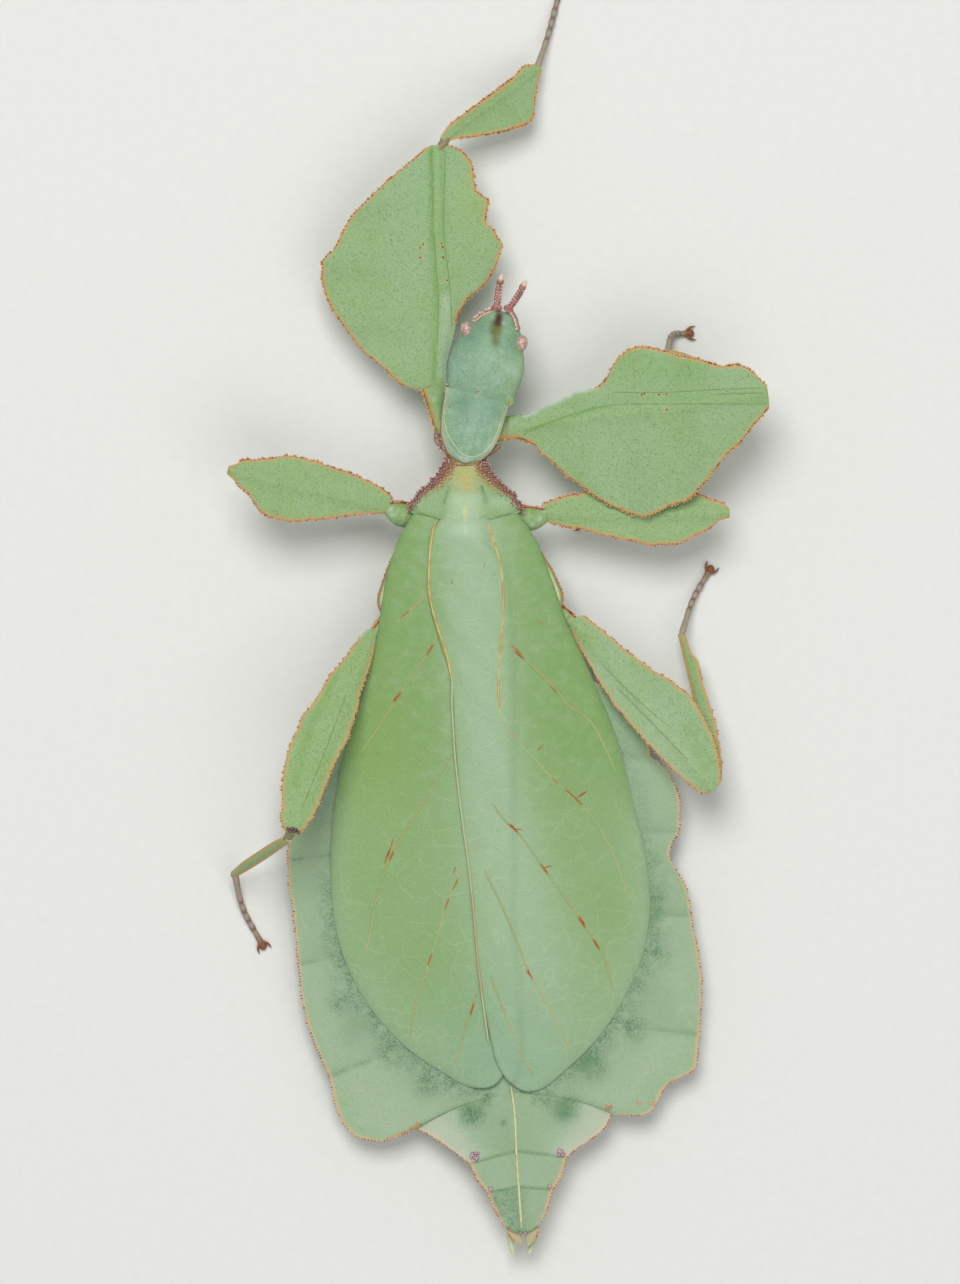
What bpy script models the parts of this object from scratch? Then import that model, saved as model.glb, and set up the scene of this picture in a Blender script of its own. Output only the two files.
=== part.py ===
"""Life-size female giant leaf insect, standing on six feet with its belly resting on the floor.

Every size is in millimetres and becomes metres where a mesh is made. +Z is up from the floor,
+Y points to the head and +X to the insect's right. The origin is on the floor, under the middle
of the whole insect.
"""

import math
import random

import bmesh
import bpy
import numpy as np
from mathutils import Vector

MM = 0.001

# Driving dimensions
JOINT_GAP = 0.3
PLATE = 0.5
TOOTH = 0.32
VEIN_RIDGE = 0.24
TEGMEN_GAP = 0.36
OVERLAP_LIFT = 1.15
SHARP_ANGLE = math.radians(40)

# Colours and finishes: red, green, blue, roughness
LEAF_GREEN = (0.44, 0.62, 0.38, 0.6)
WAXY_GREEN = (0.42, 0.60, 0.44, 0.55)
LOBE_GREEN = (0.52, 0.68, 0.46, 0.6)
LIMB_GREEN = (0.50, 0.66, 0.40, 0.6)
FOOT_BROWN = (0.40, 0.30, 0.26, 0.6)
HORN_BROWN = (0.45, 0.28, 0.24, 0.55)
EYE_PINK = (0.62, 0.44, 0.40, 0.3)


def clear_scene():
    """Remove whatever the file opened with."""
    for old in list(bpy.data.objects):
        bpy.data.objects.remove(old)


def finish_colour(name, colour):
    """One object's own Principled material."""
    material = bpy.data.materials.new(name)
    material.use_nodes = True
    shader = material.node_tree.nodes["Principled BSDF"]
    shader.inputs["Base Color"].default_value = (*colour[:3], 1.0)
    shader.inputs["Roughness"].default_value = colour[3]
    shader.inputs["Metallic"].default_value = 0.0
    material.diffuse_color = (*colour[:3], 1.0)
    return material


def profile(stations, at):
    """A smooth value between named stations (place, value) that never overshoots them."""
    places = np.array([s[0] for s in stations], float)
    values = np.array([s[1] for s in stations], float)
    steps = np.diff(places)
    rises = np.diff(values) / steps
    slopes = np.zeros(len(values))
    for i in range(1, len(values) - 1):
        if rises[i - 1] * rises[i] > 0:
            slopes[i] = 2.0 / (1.0 / rises[i - 1] + 1.0 / rises[i])
    slopes[0], slopes[-1] = rises[0], rises[-1]
    at = min(max(at, places[0]), places[-1])
    i = min(int(np.searchsorted(places, at, side="right")) - 1, len(steps) - 1)
    u = (at - places[i]) / steps[i]
    start = values[i] * (1 + 2 * u) * (1 - u) ** 2 + slopes[i] * steps[i] * u * (1 - u) ** 2
    end = values[i + 1] * (3 - 2 * u) * u * u - slopes[i + 1] * steps[i] * u * u * (1 - u)
    return float(start + end)


def through(points, share):
    """The place at a share of the length of a smooth line through the points."""
    points = np.array(points, float)
    lengths = np.linalg.norm(np.diff(points, axis=0), axis=1)
    knots = np.concatenate([[0.0], np.cumsum(lengths)]) / lengths.sum()
    slopes = np.gradient(points, knots, axis=0)
    share = min(max(share, 0.0), 1.0)
    i = min(int(np.searchsorted(knots, share, side="right")) - 1, len(lengths) - 1)
    step = knots[i + 1] - knots[i]
    u = (share - knots[i]) / step
    start = points[i] * (1 + 2 * u) * (1 - u) ** 2 + slopes[i] * step * u * (1 - u) ** 2
    end = points[i + 1] * (3 - 2 * u) * u * u - slopes[i + 1] * step * u * u * (1 - u)
    return start + end


def ease(x):
    """Runs smoothly from 0 to 1 while x does."""
    x = min(max(x, 0.0), 1.0)
    return x * x * (3 - 2 * x)


def add_object(name, points, faces, colour_name, colour):
    """One named object from points in millimetres."""
    mesh = bpy.data.meshes.new(name)
    mesh.from_pydata([Vector(p) * MM for p in points], [], faces)
    mesh.shade_smooth()
    mesh.set_sharp_from_angle(angle=SHARP_ANGLE)
    mesh.materials.append(finish_colour(f"{name}_{colour_name}", colour))
    made = bpy.data.objects.new(name, mesh)
    bpy.context.scene.collection.objects.link(made)
    return made


def plate_mesh(upper, lower):
    """Points and triangles of a closed plate from two matching grids, split alike on both faces."""
    rows, columns = len(upper), len(upper[0])
    points = [p for row in upper for p in row] + [p for row in lower for p in row]
    under = rows * columns
    faces = []
    for r in range(rows - 1):
        for c in range(columns - 1):
            a = r * columns + c
            b, d = a + 1, a + columns
            e = d + 1
            faces += [(a, b, e), (a, e, d)]
            faces += [(under + a, under + e, under + b), (under + a, under + d, under + e)]
    rim = [c for c in range(columns)]
    rim += [r * columns + columns - 1 for r in range(1, rows)]
    rim += [(rows - 1) * columns + c for c in range(columns - 2, -1, -1)]
    rim += [r * columns for r in range(rows - 2, 0, -1)]
    for here, there in zip(rim, rim[1:] + rim[:1]):
        faces += [(here, under + there, there), (here, under + here, under + there)]
    return points, faces


def facing_out(points, faces):
    """The same faces, turned round if the closed mesh is inside out."""
    volume = 0.0
    for a, b, c in faces:
        volume += float(np.dot(points[a], np.cross(points[b], points[c])))
    return faces if volume > 0 else [(a, c, b) for a, b, c in faces]


def add_plate(name, upper, lower, colour_name, colour):
    """A closed plate as its own object."""
    points, faces = plate_mesh(upper, lower)
    return add_object(name, points, facing_out(points, faces), colour_name, colour)


def loft_mesh(rings):
    """Points and triangles of a closed body through rings of equal count."""
    count = len(rings[0])
    points = [np.array(p, float) for ring in rings for p in ring]
    faces = []
    for r in range(len(rings) - 1):
        for c in range(count):
            a, b = r * count + c, r * count + (c + 1) % count
            d, e = a + count, b + count
            faces += [(a, b, e), (a, e, d)]
    for ring, turn in ((0, 1), (len(rings) - 1, -1)):
        hub = len(points)
        points.append(np.mean(rings[ring], axis=0))
        for c in range(count):
            a, b = ring * count + c, ring * count + (c + 1) % count
            faces.append((hub, b, a) if turn > 0 else (hub, a, b))
    return points, faces


def limb_rings(path, widths, heights, sides, rings):
    """Oval rings along a smooth path. Widths lie level and heights stand across them."""
    made = []
    for i in range(rings):
        share = i / (rings - 1)
        centre = through(path, share)
        ahead = through(path, share + 0.02) - through(path, share - 0.02)
        ahead /= np.linalg.norm(ahead)
        level = np.cross(ahead, (0, 0, 1))
        if np.linalg.norm(level) < 0.05:
            level = np.array((1.0, 0, 0))
        level /= np.linalg.norm(level)
        across = np.cross(level, ahead)
        wide, tall = profile(widths, share), profile(heights, share)
        ring = []
        for s in range(sides):
            turn = math.tau * (s + 0.5) / sides
            ring.append(centre + level * wide * math.cos(turn) + across * tall * math.sin(turn))
        made.append(ring)
    return made


def add_limb(name, path, widths, heights, sides, rings, colour_name, colour):
    """A closed limb or body piece of oval section along a path."""
    points, faces = loft_mesh(limb_rings(path, widths, heights, sides, rings))
    return add_object(name, points, facing_out(points, faces), colour_name, colour)


def join_pieces(body, pieces, solver="EXACT"):
    """Join closed pieces to a body and keep only its largest closed surface."""
    held = bpy.data.collections.new(body.name + "_pieces")
    for piece in pieces:
        held.objects.link(piece)
    join = body.modifiers.new("join", "BOOLEAN")
    join.operation = "UNION"
    join.operand_type = "COLLECTION"
    join.collection = held
    join.solver = solver
    apply_modifiers(body)
    for piece in pieces:
        bpy.data.objects.remove(piece)
    bpy.data.collections.remove(held)
    keep_largest(body)


def cut_away(body, cutter):
    """Take one closed cutter out of a body and remove the cutter."""
    cut = body.modifiers.new("cut", "BOOLEAN")
    cut.operation = "DIFFERENCE"
    cut.object = cutter
    apply_modifiers(body)
    bpy.data.objects.remove(cutter)
    keep_largest(body)


def apply_modifiers(body):
    """Replace a body's mesh with what its modifiers make of it."""
    bpy.context.view_layer.update()
    graph = bpy.context.evaluated_depsgraph_get()
    made = bpy.data.meshes.new_from_object(body.evaluated_get(graph))
    old = body.data
    body.modifiers.clear()
    body.data = made
    bpy.data.meshes.remove(old)


def keep_largest(body):
    """Drop loose scraps and sealed hollows that a join or a cut leaves."""
    work = bmesh.new()
    work.from_mesh(body.data)
    unseen = set(work.verts)
    shells = []
    while unseen:
        stack = [unseen.pop()]
        shell = list(stack)
        while stack:
            for edge in stack.pop().link_edges:
                for vert in edge.verts:
                    if vert in unseen:
                        unseen.remove(vert)
                        stack.append(vert)
                        shell.append(vert)
        shells.append(shell)
    shells.sort(key=len)
    for shell in shells[:-1]:
        bmesh.ops.delete(work, geom=shell, context="VERTS")
    bmesh.ops.triangulate(work, faces=work.faces[:])
    work.to_mesh(body.data)
    work.free()
    body.data.shade_smooth()
    body.data.set_sharp_from_angle(angle=SHARP_ANGLE)


# The back: one surface that the thorax and abdomen reach and the wings lie over
RIDGE_HEIGHTS = [(-70.5, 5.6), (-65, 5.2), (-61, 5.0), (-54.5, 4.9), (-45, 5.7), (-30, 6.7),
                 (-16, 7.7), (0, 8.9), (12, 9.7)]
LOBE_HEIGHTS = [(-70.5, 5.0), (-65, 4.5), (-61, 4.2), (-54.5, 3.9), (-45, 3.8), (-30, 4.2),
                (-16, 4.7), (-8, 5.2), (0, 6.0), (12, 7.8)]
BACK_REACH = 20.0


def axis_x(y):
    """Where the body's midline runs: it leans a little to the right towards the tail."""
    return -3.1 - 0.083 * y


def back_height(x, y):
    """Height of the body's upper side, domed across the midline."""
    ridge, lobe = profile(RIDGE_HEIGHTS, y), profile(LOBE_HEIGHTS, y)
    share = min(abs(x - axis_x(y)) / BACK_REACH, 1.0)
    return lobe + (ridge - lobe) * (1 - share * share) ** 1.5


# Abdomen: each segment's front corners on the left edge, midline and right edge
SEGMENT_CORNERS = [
    ((-11.6, -0.3), (-3.1, -0.1), (5.6, 0.2)),
    ((-16.0, -8.4), (-2.5, -7.9), (10.9, -7.5)),
    ((-22.2, -18.5), (-1.8, -16.1), (17.4, -16.1)),
    ((-24.1, -28.0), (-1.2, -25.0), (20.7, -24.7)),
    ((-22.9, -39.9), (-0.3, -35.6), (22.1, -34.2)),
    ((-19.3, -52.7), (0.5, -44.9), (23.0, -48.0)),
    ((-9.2, -58.3), (1.5, -54.5), (13.3, -56.8)),
]
# How far each segment's edge swells past the straight line at a quarter, half and three quarters
LEFT_SWELL = [(0.3, 0.4, 0.3), (0.3, 0.4, 0.4), (0.5, 0.6, 0.4), (0.2, 0.0, 0.0),
              (0.6, 0.8, 0.6), (2.9, 4.2, 3.3)]
RIGHT_SWELL = [(0.2, 0.3, 0.2), (1.0, 1.7, 1.3), (1.35, 1.5, 1.0), (-1.5, -0.7, 0.0),
               (0.4, 0.7, 0.5), (2.4, 1.6, 2.3)]
SEGMENT_ROWS = (4, 5, 5, 6, 6, 8)
SWELL_PLACES = (0.0, 0.25, 0.5, 0.75, 1.0)
CORE_DEPTHS = [(-60, 1.8), (-54.5, 2.5), (-50, 3.9), (-45, 5.2), (-38, 6.2), (-30, 6.8), (-20, 7.4),
               (-12, 6.8), (-6, 5.2), (0, 3.6)]
CORE_REACHES = [(-60, 7.0), (-50, 10.5), (-35, 13.0), (-15, 11.5), (-5, 8.5), (0, 7.0)]
ABDOMEN_COLUMNS = (-1, -0.78, -0.54, -0.36, -0.18, 0, 0.18, 0.36, 0.54, 0.78, 1)
SUTURE_GROOVE = 0.12

# Tail: segments eight to ten, ending in a rounded tip
TAIL_CORNERS = [
    ((-9.0, -58.7), (1.6, -54.9), (13.1, -57.2)),
    ((-3.1, -62.2), (2.1, -61.0), (7.7, -61.7)),
    ((-1.3, -65.7), (2.3, -65.0), (6.2, -65.4)),
    ((1.5, -70.3), (2.7, -70.5), (4.0, -70.3)),
]
TAIL_LEFT_SWELL = [(-0.2, 0.0, 0.2), (0.1, 0.2, 0.1), (0.3, 0.4, 0.3)]
TAIL_RIGHT_SWELL = [(-0.4, -0.5, -0.2), (0.2, 0.3, 0.2), (0.2, 0.4, 0.4)]
TAIL_ROWS = (4, 3, 4)
TAIL_THICKNESS = [(-70.5, 1.2), (-61, 1.9), (-54.5, 2.6)]


def lobe_edge(corners, swells, side, segment, share):
    """A place on one side's edge of a segment, between its corners and out by its swell."""
    start = np.array(corners[segment][side], float)
    end = np.array(corners[segment + 1][side], float)
    run = (end - start) / np.linalg.norm(end - start)
    outward = np.array((run[1], -run[0])) * (1 if side == 0 else -1)
    heights = (0.0, *swells[segment], 0.0)
    swell = profile(list(zip(SWELL_PLACES, heights)), share)
    return start + (end - start) * share + outward * swell


def segment_rows(corners, left_swell, right_swell, row_counts):
    """Left edge, midline and right edge places of each row, with the share run in its segment."""
    rows = []
    for segment, count in enumerate(row_counts):
        last = segment == len(row_counts) - 1
        for i in range(count + (1 if last else 0)):
            share = i / count
            middle = np.array(corners[segment][1]) * (1 - share) + np.array(corners[segment + 1][1]) * share
            left = lobe_edge(corners, left_swell, 0, segment, share)
            right = lobe_edge(corners, right_swell, 2, segment, share)
            rows.append((left, middle, right, share if i else 0.0, i))
    return rows


def row_place(row, column):
    """A place across a row: -1 at the left edge, 0 on the midline, 1 at the right edge.
    Rows bow forward over the middle, as the plates of an abdomen do."""
    left, middle, right = row[:3]
    edge = left if column < 0 else right
    return middle + (edge - middle) * abs(column)


def build_abdomen():
    """Segments two to seven: a domed, egg-filled core between thin leaf-like lobes."""
    rows = segment_rows(SEGMENT_CORNERS, LEFT_SWELL, RIGHT_SWELL, SEGMENT_ROWS)
    upper, lower = [], []
    for number, row in enumerate(rows):
        at_suture = row[4] == 0 and 0 < number
        top, bottom = [], []
        for column in ABDOMEN_COLUMNS:
            x, y = row_place(row, column)
            if abs(column) == 1:
                x += math.copysign(TOOTH / 2, column) * (1 if number % 2 else -1)
            height = back_height(x, y) - (SUTURE_GROOVE if at_suture and abs(column) < 1 else 0.0)
            share = min(abs(x - axis_x(y)) / profile(CORE_REACHES, y), 1.0)
            floor = back_height(x, y) - PLATE - profile(CORE_DEPTHS, y) * (1 - share * share) ** 1.2
            top.append((x, y, height))
            bottom.append((x, y, max(floor, 0.0)))
        upper.append(top)
        lower.append(bottom)
    add_plate("abdomen", upper, lower, "lobe_green", LOBE_GREEN)


def build_tail():
    """Segments eight to ten with the raised line along the middle."""
    rows = segment_rows(TAIL_CORNERS, TAIL_LEFT_SWELL, TAIL_RIGHT_SWELL, TAIL_ROWS)
    columns = (-1, -0.62, -0.3, -0.07, 0, 0.07, 0.3, 0.62, 1)
    upper, lower = [], []
    for number, row in enumerate(rows):
        top, bottom = [], []
        for column in columns:
            x, y = row_place(row, column)
            if abs(column) == 1 and number:
                x += math.copysign(TOOTH / 2, column) * (1 if number % 2 else -1)
            height = back_height(x, y)
            if column == 0:
                height += VEIN_RIDGE
            thickness = profile(TAIL_THICKNESS, y)
            core = PLATE + (thickness - PLATE) * (1 - column * column) ** 1.5
            top.append((x, y, height))
            bottom.append((x, y, back_height(x, y) - core))
        upper.append(top)
        lower.append(bottom)
    add_plate("tail", upper, lower, "lobe_green", LOBE_GREEN)


def build_tail_tips():
    """The two flat cerci behind the last segment and the egg-laying valves under them."""
    for side, name in ((-1, "cercus_left"), (1, "cercus_right")):
        root = np.array((2.75 + side * 0.85, -70.75, 5.2))
        tip = np.array((2.75 + side * 0.45, -72.35, 5.0))
        add_limb(name, [root, (root + tip) / 2 + (side * 0.12, 0, 0), tip],
                 [(0, 0.55), (0.5, 0.6), (1, 0.25)], [(0, 0.3), (1, 0.25)], 8, 5,
                 "lobe_green", LOBE_GREEN)
    valves = [(2.7, -67.4, 3.1), (2.6, -69.8, 3.2), (2.2, -72.9, 4.0)]
    add_limb("egg_valves", valves, [(0, 1.1), (0.6, 0.8), (1, 0.3)], [(0, 0.45), (1, 0.26)], 8, 6,
             "lobe_green", LOBE_GREEN)


# Thorax: flanged plates over a narrower core
THORAX_AXIS_X = -3.85
META_ROWS = [
    ((-10.2, 9.4), (-3.9, 9.4), (3.3, 9.4)),
    ((-11.8, 7.2), (-3.7, 7.0), (5.0, 6.9)),
    ((-13.1, 4.1), (-3.4, 4.2), (6.6, 4.1)),
    ((-13.7, 1.2), (-3.2, 0.8), (7.3, 1.9)),
    ((-11.9, 0.1), (-3.1, 0.3), (5.9, 0.6)),
]
META_COLUMNS = (-1, -0.78, -0.52, -0.46, 0, 0.46, 0.52, 0.78, 1)
META_CORE_FLOOR = [(0.0, 4.4), (9.4, 5.2)]


def build_metathorax():
    """The hind thorax under the wings, whose side edges show past them."""
    upper, lower = [], []
    for row in META_ROWS:
        top, bottom = [], []
        for column in META_COLUMNS:
            x, y = row_place([np.array(p, float) for p in row], column)
            height = back_height(x, y)
            top.append((x, y, height))
            if abs(column) <= 0.46:
                bottom.append((x, y, profile(META_CORE_FLOOR, y)))
            else:
                bottom.append((x, y, height - (PLATE if abs(column) > 0.6 else 0.8)))
        upper.append(top)
        lower.append(bottom)
    add_plate("metathorax", upper, lower, "leaf_green", LEAF_GREEN)


# Middle thorax: (y, half width of the flange, height of the top on the midline)
MESO_STATIONS = [(17.3, 2.3, 9.6), (16.4, 2.6, 9.9), (15.2, 3.4, 10.3), (13.9, 5.0, 10.6),
                 (12.8, 6.0, 10.8), (11.7, 6.6, 10.8), (11.4, 6.5, 10.8), (10.1, 5.6, 10.4)]
MESO_COLUMNS = (-1, -0.8, -0.52, -0.46, -0.15, 0, 0.15, 0.46, 0.52, 0.8, 1)
MESO_CORE_FLOOR = 5.4
MESO_DROOP = 0.9
WING_SEAT_Y = 11.45
TONGUE_HALF_WIDTH = 2.1


def build_mesothorax():
    """The triangular plate behind the neck, with a rounded tongue between the wing roots
    and rough spines along its front edges."""
    upper, lower = [], []
    for y, half_width, middle_height in MESO_STATIONS:
        top, bottom = [], []
        for column in MESO_COLUMNS:
            x = THORAX_AXIS_X + half_width * column
            behind = y < WING_SEAT_Y
            if behind and abs(column) <= 0.46:
                x = THORAX_AXIS_X + TONGUE_HALF_WIDTH * column / 0.46
            height = middle_height - MESO_DROOP * column * column
            if behind and abs(column) > 0.46:
                height = back_height(x, y) - 0.05
            top.append((x, y, height))
            if abs(column) <= 0.46:
                floor = MESO_CORE_FLOOR + 2.2 * ease((y - 14.5) / 3.0)
                bottom.append((x, y, floor))
            else:
                bottom.append((x, y, height - 0.6))
        upper.append(top)
        lower.append(bottom)
    body = add_plate("mesothorax", upper, lower, "leaf_green", LEAF_GREEN)
    join_pieces(body, thorax_spines())


def spine_piece(root, lean, length, radius):
    """One four-sided spine with its root sunk into what it grows from."""
    lean = np.array(lean, float) / np.linalg.norm(lean)
    side = np.cross(lean, (0, 0, 1.0))
    side /= np.linalg.norm(side)
    rise = np.cross(side, lean)
    root = np.array(root, float)
    base = root - lean * 0.35
    ring = [base + side * radius * c + rise * radius * s for c, s in ((1, 0), (0, 1), (-1, 0), (0, -1))]
    points = [*ring, root + lean * length]
    faces = [(i, (i + 1) % 4, 4) for i in range(4)] + [(0, 3, 2), (0, 2, 1)]
    return add_object("spine", points, facing_out(points, faces), "horn_brown", HORN_BROWN)


def thorax_spines():
    """Rough spines along the two front edges of the middle thorax, thinning outwards."""
    draw = random.Random(7)
    pieces = []
    front_edge = [(s[0], s[1]) for s in MESO_STATIONS[:6]][::-1]
    spine_count = 10
    for side in (-1, 1):
        for i in range(spine_count):
            y = 11.9 + (17.0 - 11.9) * (i + 0.5) / spine_count
            reach = profile(front_edge, y) - 0.1
            share = reach / max(profile(front_edge, y), 0.1)
            top = profile([(s[0], s[2]) for s in MESO_STATIONS[::-1]], y)
            height = top - MESO_DROOP * share * share - 0.3
            length = draw.uniform(0.45, 0.75)
            lean = (side * 1.0, draw.uniform(0.5, 1.0), draw.uniform(0.0, 0.5))
            pieces.append(spine_piece((THORAX_AXIS_X + side * reach, y, height), lean, length, 0.24))
    return pieces


# Front thorax and its shield
PRO_REAR = (-3.95, 17.75)
PRO_FRONT = (-2.4, 24.95)
SHIELD_HALF_WIDTHS = [(0, 1.2), (0.1, 2.05), (0.25, 2.85), (0.5, 3.35), (0.75, 3.5), (1, 3.35)]
SHIELD_TOPS = [(0, 10.3), (0.3, 11.0), (0.7, 11.1), (1, 10.7)]
PRO_CORE = 1.65
PRO_FLOORS = [(0, 8.0), (0.25, 6.6), (0.8, 6.4), (1, 6.6)]


def build_prothorax():
    """The shield-shaped pronotum over the narrow front thorax."""
    rear, front = np.array(PRO_REAR), np.array(PRO_FRONT)
    run = (front - rear) / np.linalg.norm(front - rear)
    side = np.array((run[1], -run[0]))
    upper, lower = [], []
    row_count = 9
    for i in range(row_count):
        share = i / (row_count - 1)
        half = profile(SHIELD_HALF_WIDTHS, share)
        core = min(PRO_CORE, half * 0.8) / half
        top, bottom = [], []
        for column in (-1, -0.85, -core - 0.06, -core, 0, core, core + 0.06, 0.85, 1):
            x, y = rear + (front - rear) * share + side * half * column
            height = profile(SHIELD_TOPS, share) - 1.1 * column * column
            top.append((x, y, height))
            if abs(column) <= core:
                bottom.append((x, y, profile(PRO_FLOORS, share)))
            else:
                bottom.append((x, y, height - PLATE))
        upper.append(top)
        lower.append(bottom)
    add_plate("prothorax", upper, lower, "waxy_green", WAXY_GREEN)


# Head
HEAD_REAR = (-2.1, 25.45, 9.2)
HEAD_FRONT = (0.05, 34.6, 8.8)
HEAD_HALF_WIDTHS = [(0, 3.4), (0.1, 4.1), (0.28, 4.55), (0.45, 4.5), (0.6, 4.0), (0.75, 3.25),
                    (0.88, 2.35), (0.96, 1.5), (1, 1.0)]
HEAD_HALF_HEIGHTS = [(0, 2.0), (0.12, 2.4), (0.4, 2.6), (0.7, 2.1), (0.9, 1.3), (1, 0.7)]
EYE_RADIUS = 0.78
EYE_LEFT = (-3.55, 32.7, 9.7)
EYE_RIGHT = (2.5, 31.25, 9.7)


BALL_SIDES = 8


def ball(name, centre, radius, colour_name, colour, stretch=(1, 1, 1)):
    """A closed ball of few faces."""
    work = bmesh.new()
    bmesh.ops.create_uvsphere(work, u_segments=BALL_SIDES, v_segments=BALL_SIDES // 2 + 1, radius=1.0)
    bmesh.ops.triangulate(work, faces=work.faces[:])
    points = [np.array(v.co) * radius * np.array(stretch) + np.array(centre) for v in work.verts]
    work.verts.index_update()
    faces = [tuple(v.index for v in f.verts) for f in work.faces]
    work.free()
    return add_object(name, points, facing_out(points, faces), colour_name, colour)


def build_head():
    """The head capsule with an eye seated in a socket on each side and a grooved brow."""
    middle = (np.array(HEAD_REAR) + np.array(HEAD_FRONT)) / 2
    head = add_limb("head", [HEAD_REAR, middle, HEAD_FRONT], HEAD_HALF_WIDTHS, HEAD_HALF_HEIGHTS,
                    16, 13, "waxy_green", WAXY_GREEN)
    for centre in (EYE_LEFT, EYE_RIGHT):
        cut_away(head, ball("socket", centre, EYE_RADIUS + JOINT_GAP, "eye_pink", EYE_PINK))
    ball("eye_left", EYE_LEFT, EYE_RADIUS, "eye_pink", EYE_PINK)
    ball("eye_right", EYE_RIGHT, EYE_RADIUS, "eye_pink", EYE_PINK)


def build_mouthparts():
    """Upper lip and jaws under the brow, with two feelers hanging on each side."""
    root = np.array((-0.75, 32.2, 6.7))
    tip = root + (0.35, 1.2, -1.9)
    body = add_limb("mouthparts", [root, (root + tip) / 2, tip], [(0, 1.25), (0.6, 1.15), (1, 0.7)],
                    [(0, 0.95), (0.6, 0.85), (1, 0.5)], 10, 5, "leaf_green", LEAF_GREEN)
    palps = []
    for side in (-1, 1):
        for out, back, length in ((0.75, 0.25, 2.0), (0.5, 0.85, 1.5)):
            start = root + (side * out, -back * 0.6, -0.6)
            knee = start + (side * 0.75, 0.1, -length * 0.45)
            end = start + (side * 0.55, 0.3, -length)
            palps.append(add_limb("palp", [start, knee, end], [(0, 0.28), (1, 0.26)],
                                  [(0, 0.28), (1, 0.26)], 5, 4, "leaf_green", LEAF_GREEN))
    # The exact solver leaves three separate bodies here, and the manifold solver leaves one
    join_pieces(body, palps, "MANIFOLD")


ANTENNA_BEADS = 8
ANTENNA_ROOTS = {"left": (-0.2, 34.95, 9.2), "right": (1.15, 34.75, 9.2)}
ANTENNA_TIPS = {"left": (0.5, 38.9, 10.6), "right": (3.3, 38.1, 10.5)}


def build_antennae():
    """Short beaded antennae, each of a stout base, small beads and a long pointed end bead."""
    for side, sign in (("left", -1), ("right", 1)):
        root, tip = np.array(ANTENNA_ROOTS[side]), np.array(ANTENNA_TIPS[side])
        bow = (root + tip) / 2 + (sign * 0.12, 0, 0.12)
        radii = [(0, 0.42), (0.1, 0.5)]
        for bead in range(1, ANTENNA_BEADS):
            start = 0.14 + 0.56 * (bead - 1) / (ANTENNA_BEADS - 1)
            step = 0.56 / (ANTENNA_BEADS - 1)
            radii += [(start, 0.27), (start + step * 0.55, 0.37)]
        radii += [(0.72, 0.27), (0.82, 0.4), (0.93, 0.3), (1, 0.1)]
        add_limb(f"antenna_{side}", [root, bow, tip], radii, radii, 6, 20, "horn_brown", HORN_BROWN)


# Wings: the outer and inner edges of each, from root to tip
LEFT_OUTER = [(-9.9, 11.0), (-11.2, 9.0), (-12.4, 6.0), (-13.2, 1.4), (-13.45, -2.3), (-14.0, -4.8),
              (-15.6, -9.6), (-17.8, -16.4), (-19.0, -23.3), (-19.2, -30.1), (-18.4, -36.9),
              (-16.7, -41.5), (-13.7, -46.1), (-9.9, -49.9), (-6.1, -52.7), (-2.5, -53.9)]
LEFT_INNER = [(-7.15, 11.0), (-7.1, 9.9), (-5.6, 9.1), (-3.2, 8.3), (-1.2, 5.6), (-0.3, 0.0), (-0.1, -8.0),
              (-0.1, -32.4), (0.4, -43.8), (0.3, -49.5), (-0.6, -52.6), (-2.5, -53.9)]
RIGHT_OUTER = [(2.6, 11.0), (4.2, 8.7), (6.1, 4.1), (7.7, -0.5), (9.8, -5.0), (11.8, -9.6),
               (13.6, -14.1), (15.4, -21.0), (16.9, -27.8), (17.3, -34.7), (16.4, -39.2),
               (14.8, -43.0), (11.6, -48.0), (8.2, -52.0), (3.6, -54.4)]
RIGHT_INNER = [(-0.6, 11.0), (-0.65, 9.9), (-2.2, 9.1), (-5.2, 7.7), (-6.8, 4.0), (-6.6, -1.0),
               (-5.6, -6.0), (-5.0, -14.1), (-4.4, -21.0), (-3.2, -30.1), (-2.1, -41.5),
               (-1.1, -48.9), (0.7, -52.6), (3.6, -54.4)]
# Rows fan out from the inner edge like a leaf's side veins: share of the inner and the outer edge
FAN_INNER = [(0, 0), (0.2, 0.09), (0.4, 0.22), (0.6, 0.42), (0.8, 0.7), (1, 1)]
FAN_OUTER = [(0, 0), (0.2, 0.28), (0.4, 0.56), (0.6, 0.77), (0.8, 0.91), (1, 1)]
SIDE_VEINS = (0.2, 0.31, 0.42, 0.54, 0.67, 0.8)
VEIN_HALF_STEP = 0.011
MAIN_VEIN_PLACES = [(0, 0.6), (0.1, 0.52), (0.2, 0.45), (0.4, 0.33), (0.6, 0.2), (1, 0.1)]
MAIN_VEIN_HALF = 0.035
MAIN_VEIN_END = 0.52


def wing_rows():
    """Shares of the fan's run that hold a row, and whether that row carries a side vein."""
    rows = [(0.0, 0.0), (0.05, 0.0), (0.1, 0.0), (0.15, 0.0)]
    ends = (*SIDE_VEINS[1:], 1.0)
    for vein, following in zip(SIDE_VEINS, ends):
        rows += [(vein - VEIN_HALF_STEP, 0.0), (vein, 1.0), (vein + VEIN_HALF_STEP, 0.0)]
        rows.append(((vein + following) / 2, 0.0))
    rows += [(0.95, 0.0), (0.985, 0.0)]
    return rows


def inner_edge_x(y):
    """How far right the left wing reaches over the midline."""
    return profile([(p[1], p[0]) for p in LEFT_INNER[:2:-1]], y)


def wing_lift(x, y):
    """Extra height where the right wing lies over the left one."""
    return OVERLAP_LIFT * ease((inner_edge_x(y) + 3.2 - x) / 2.0)


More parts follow.
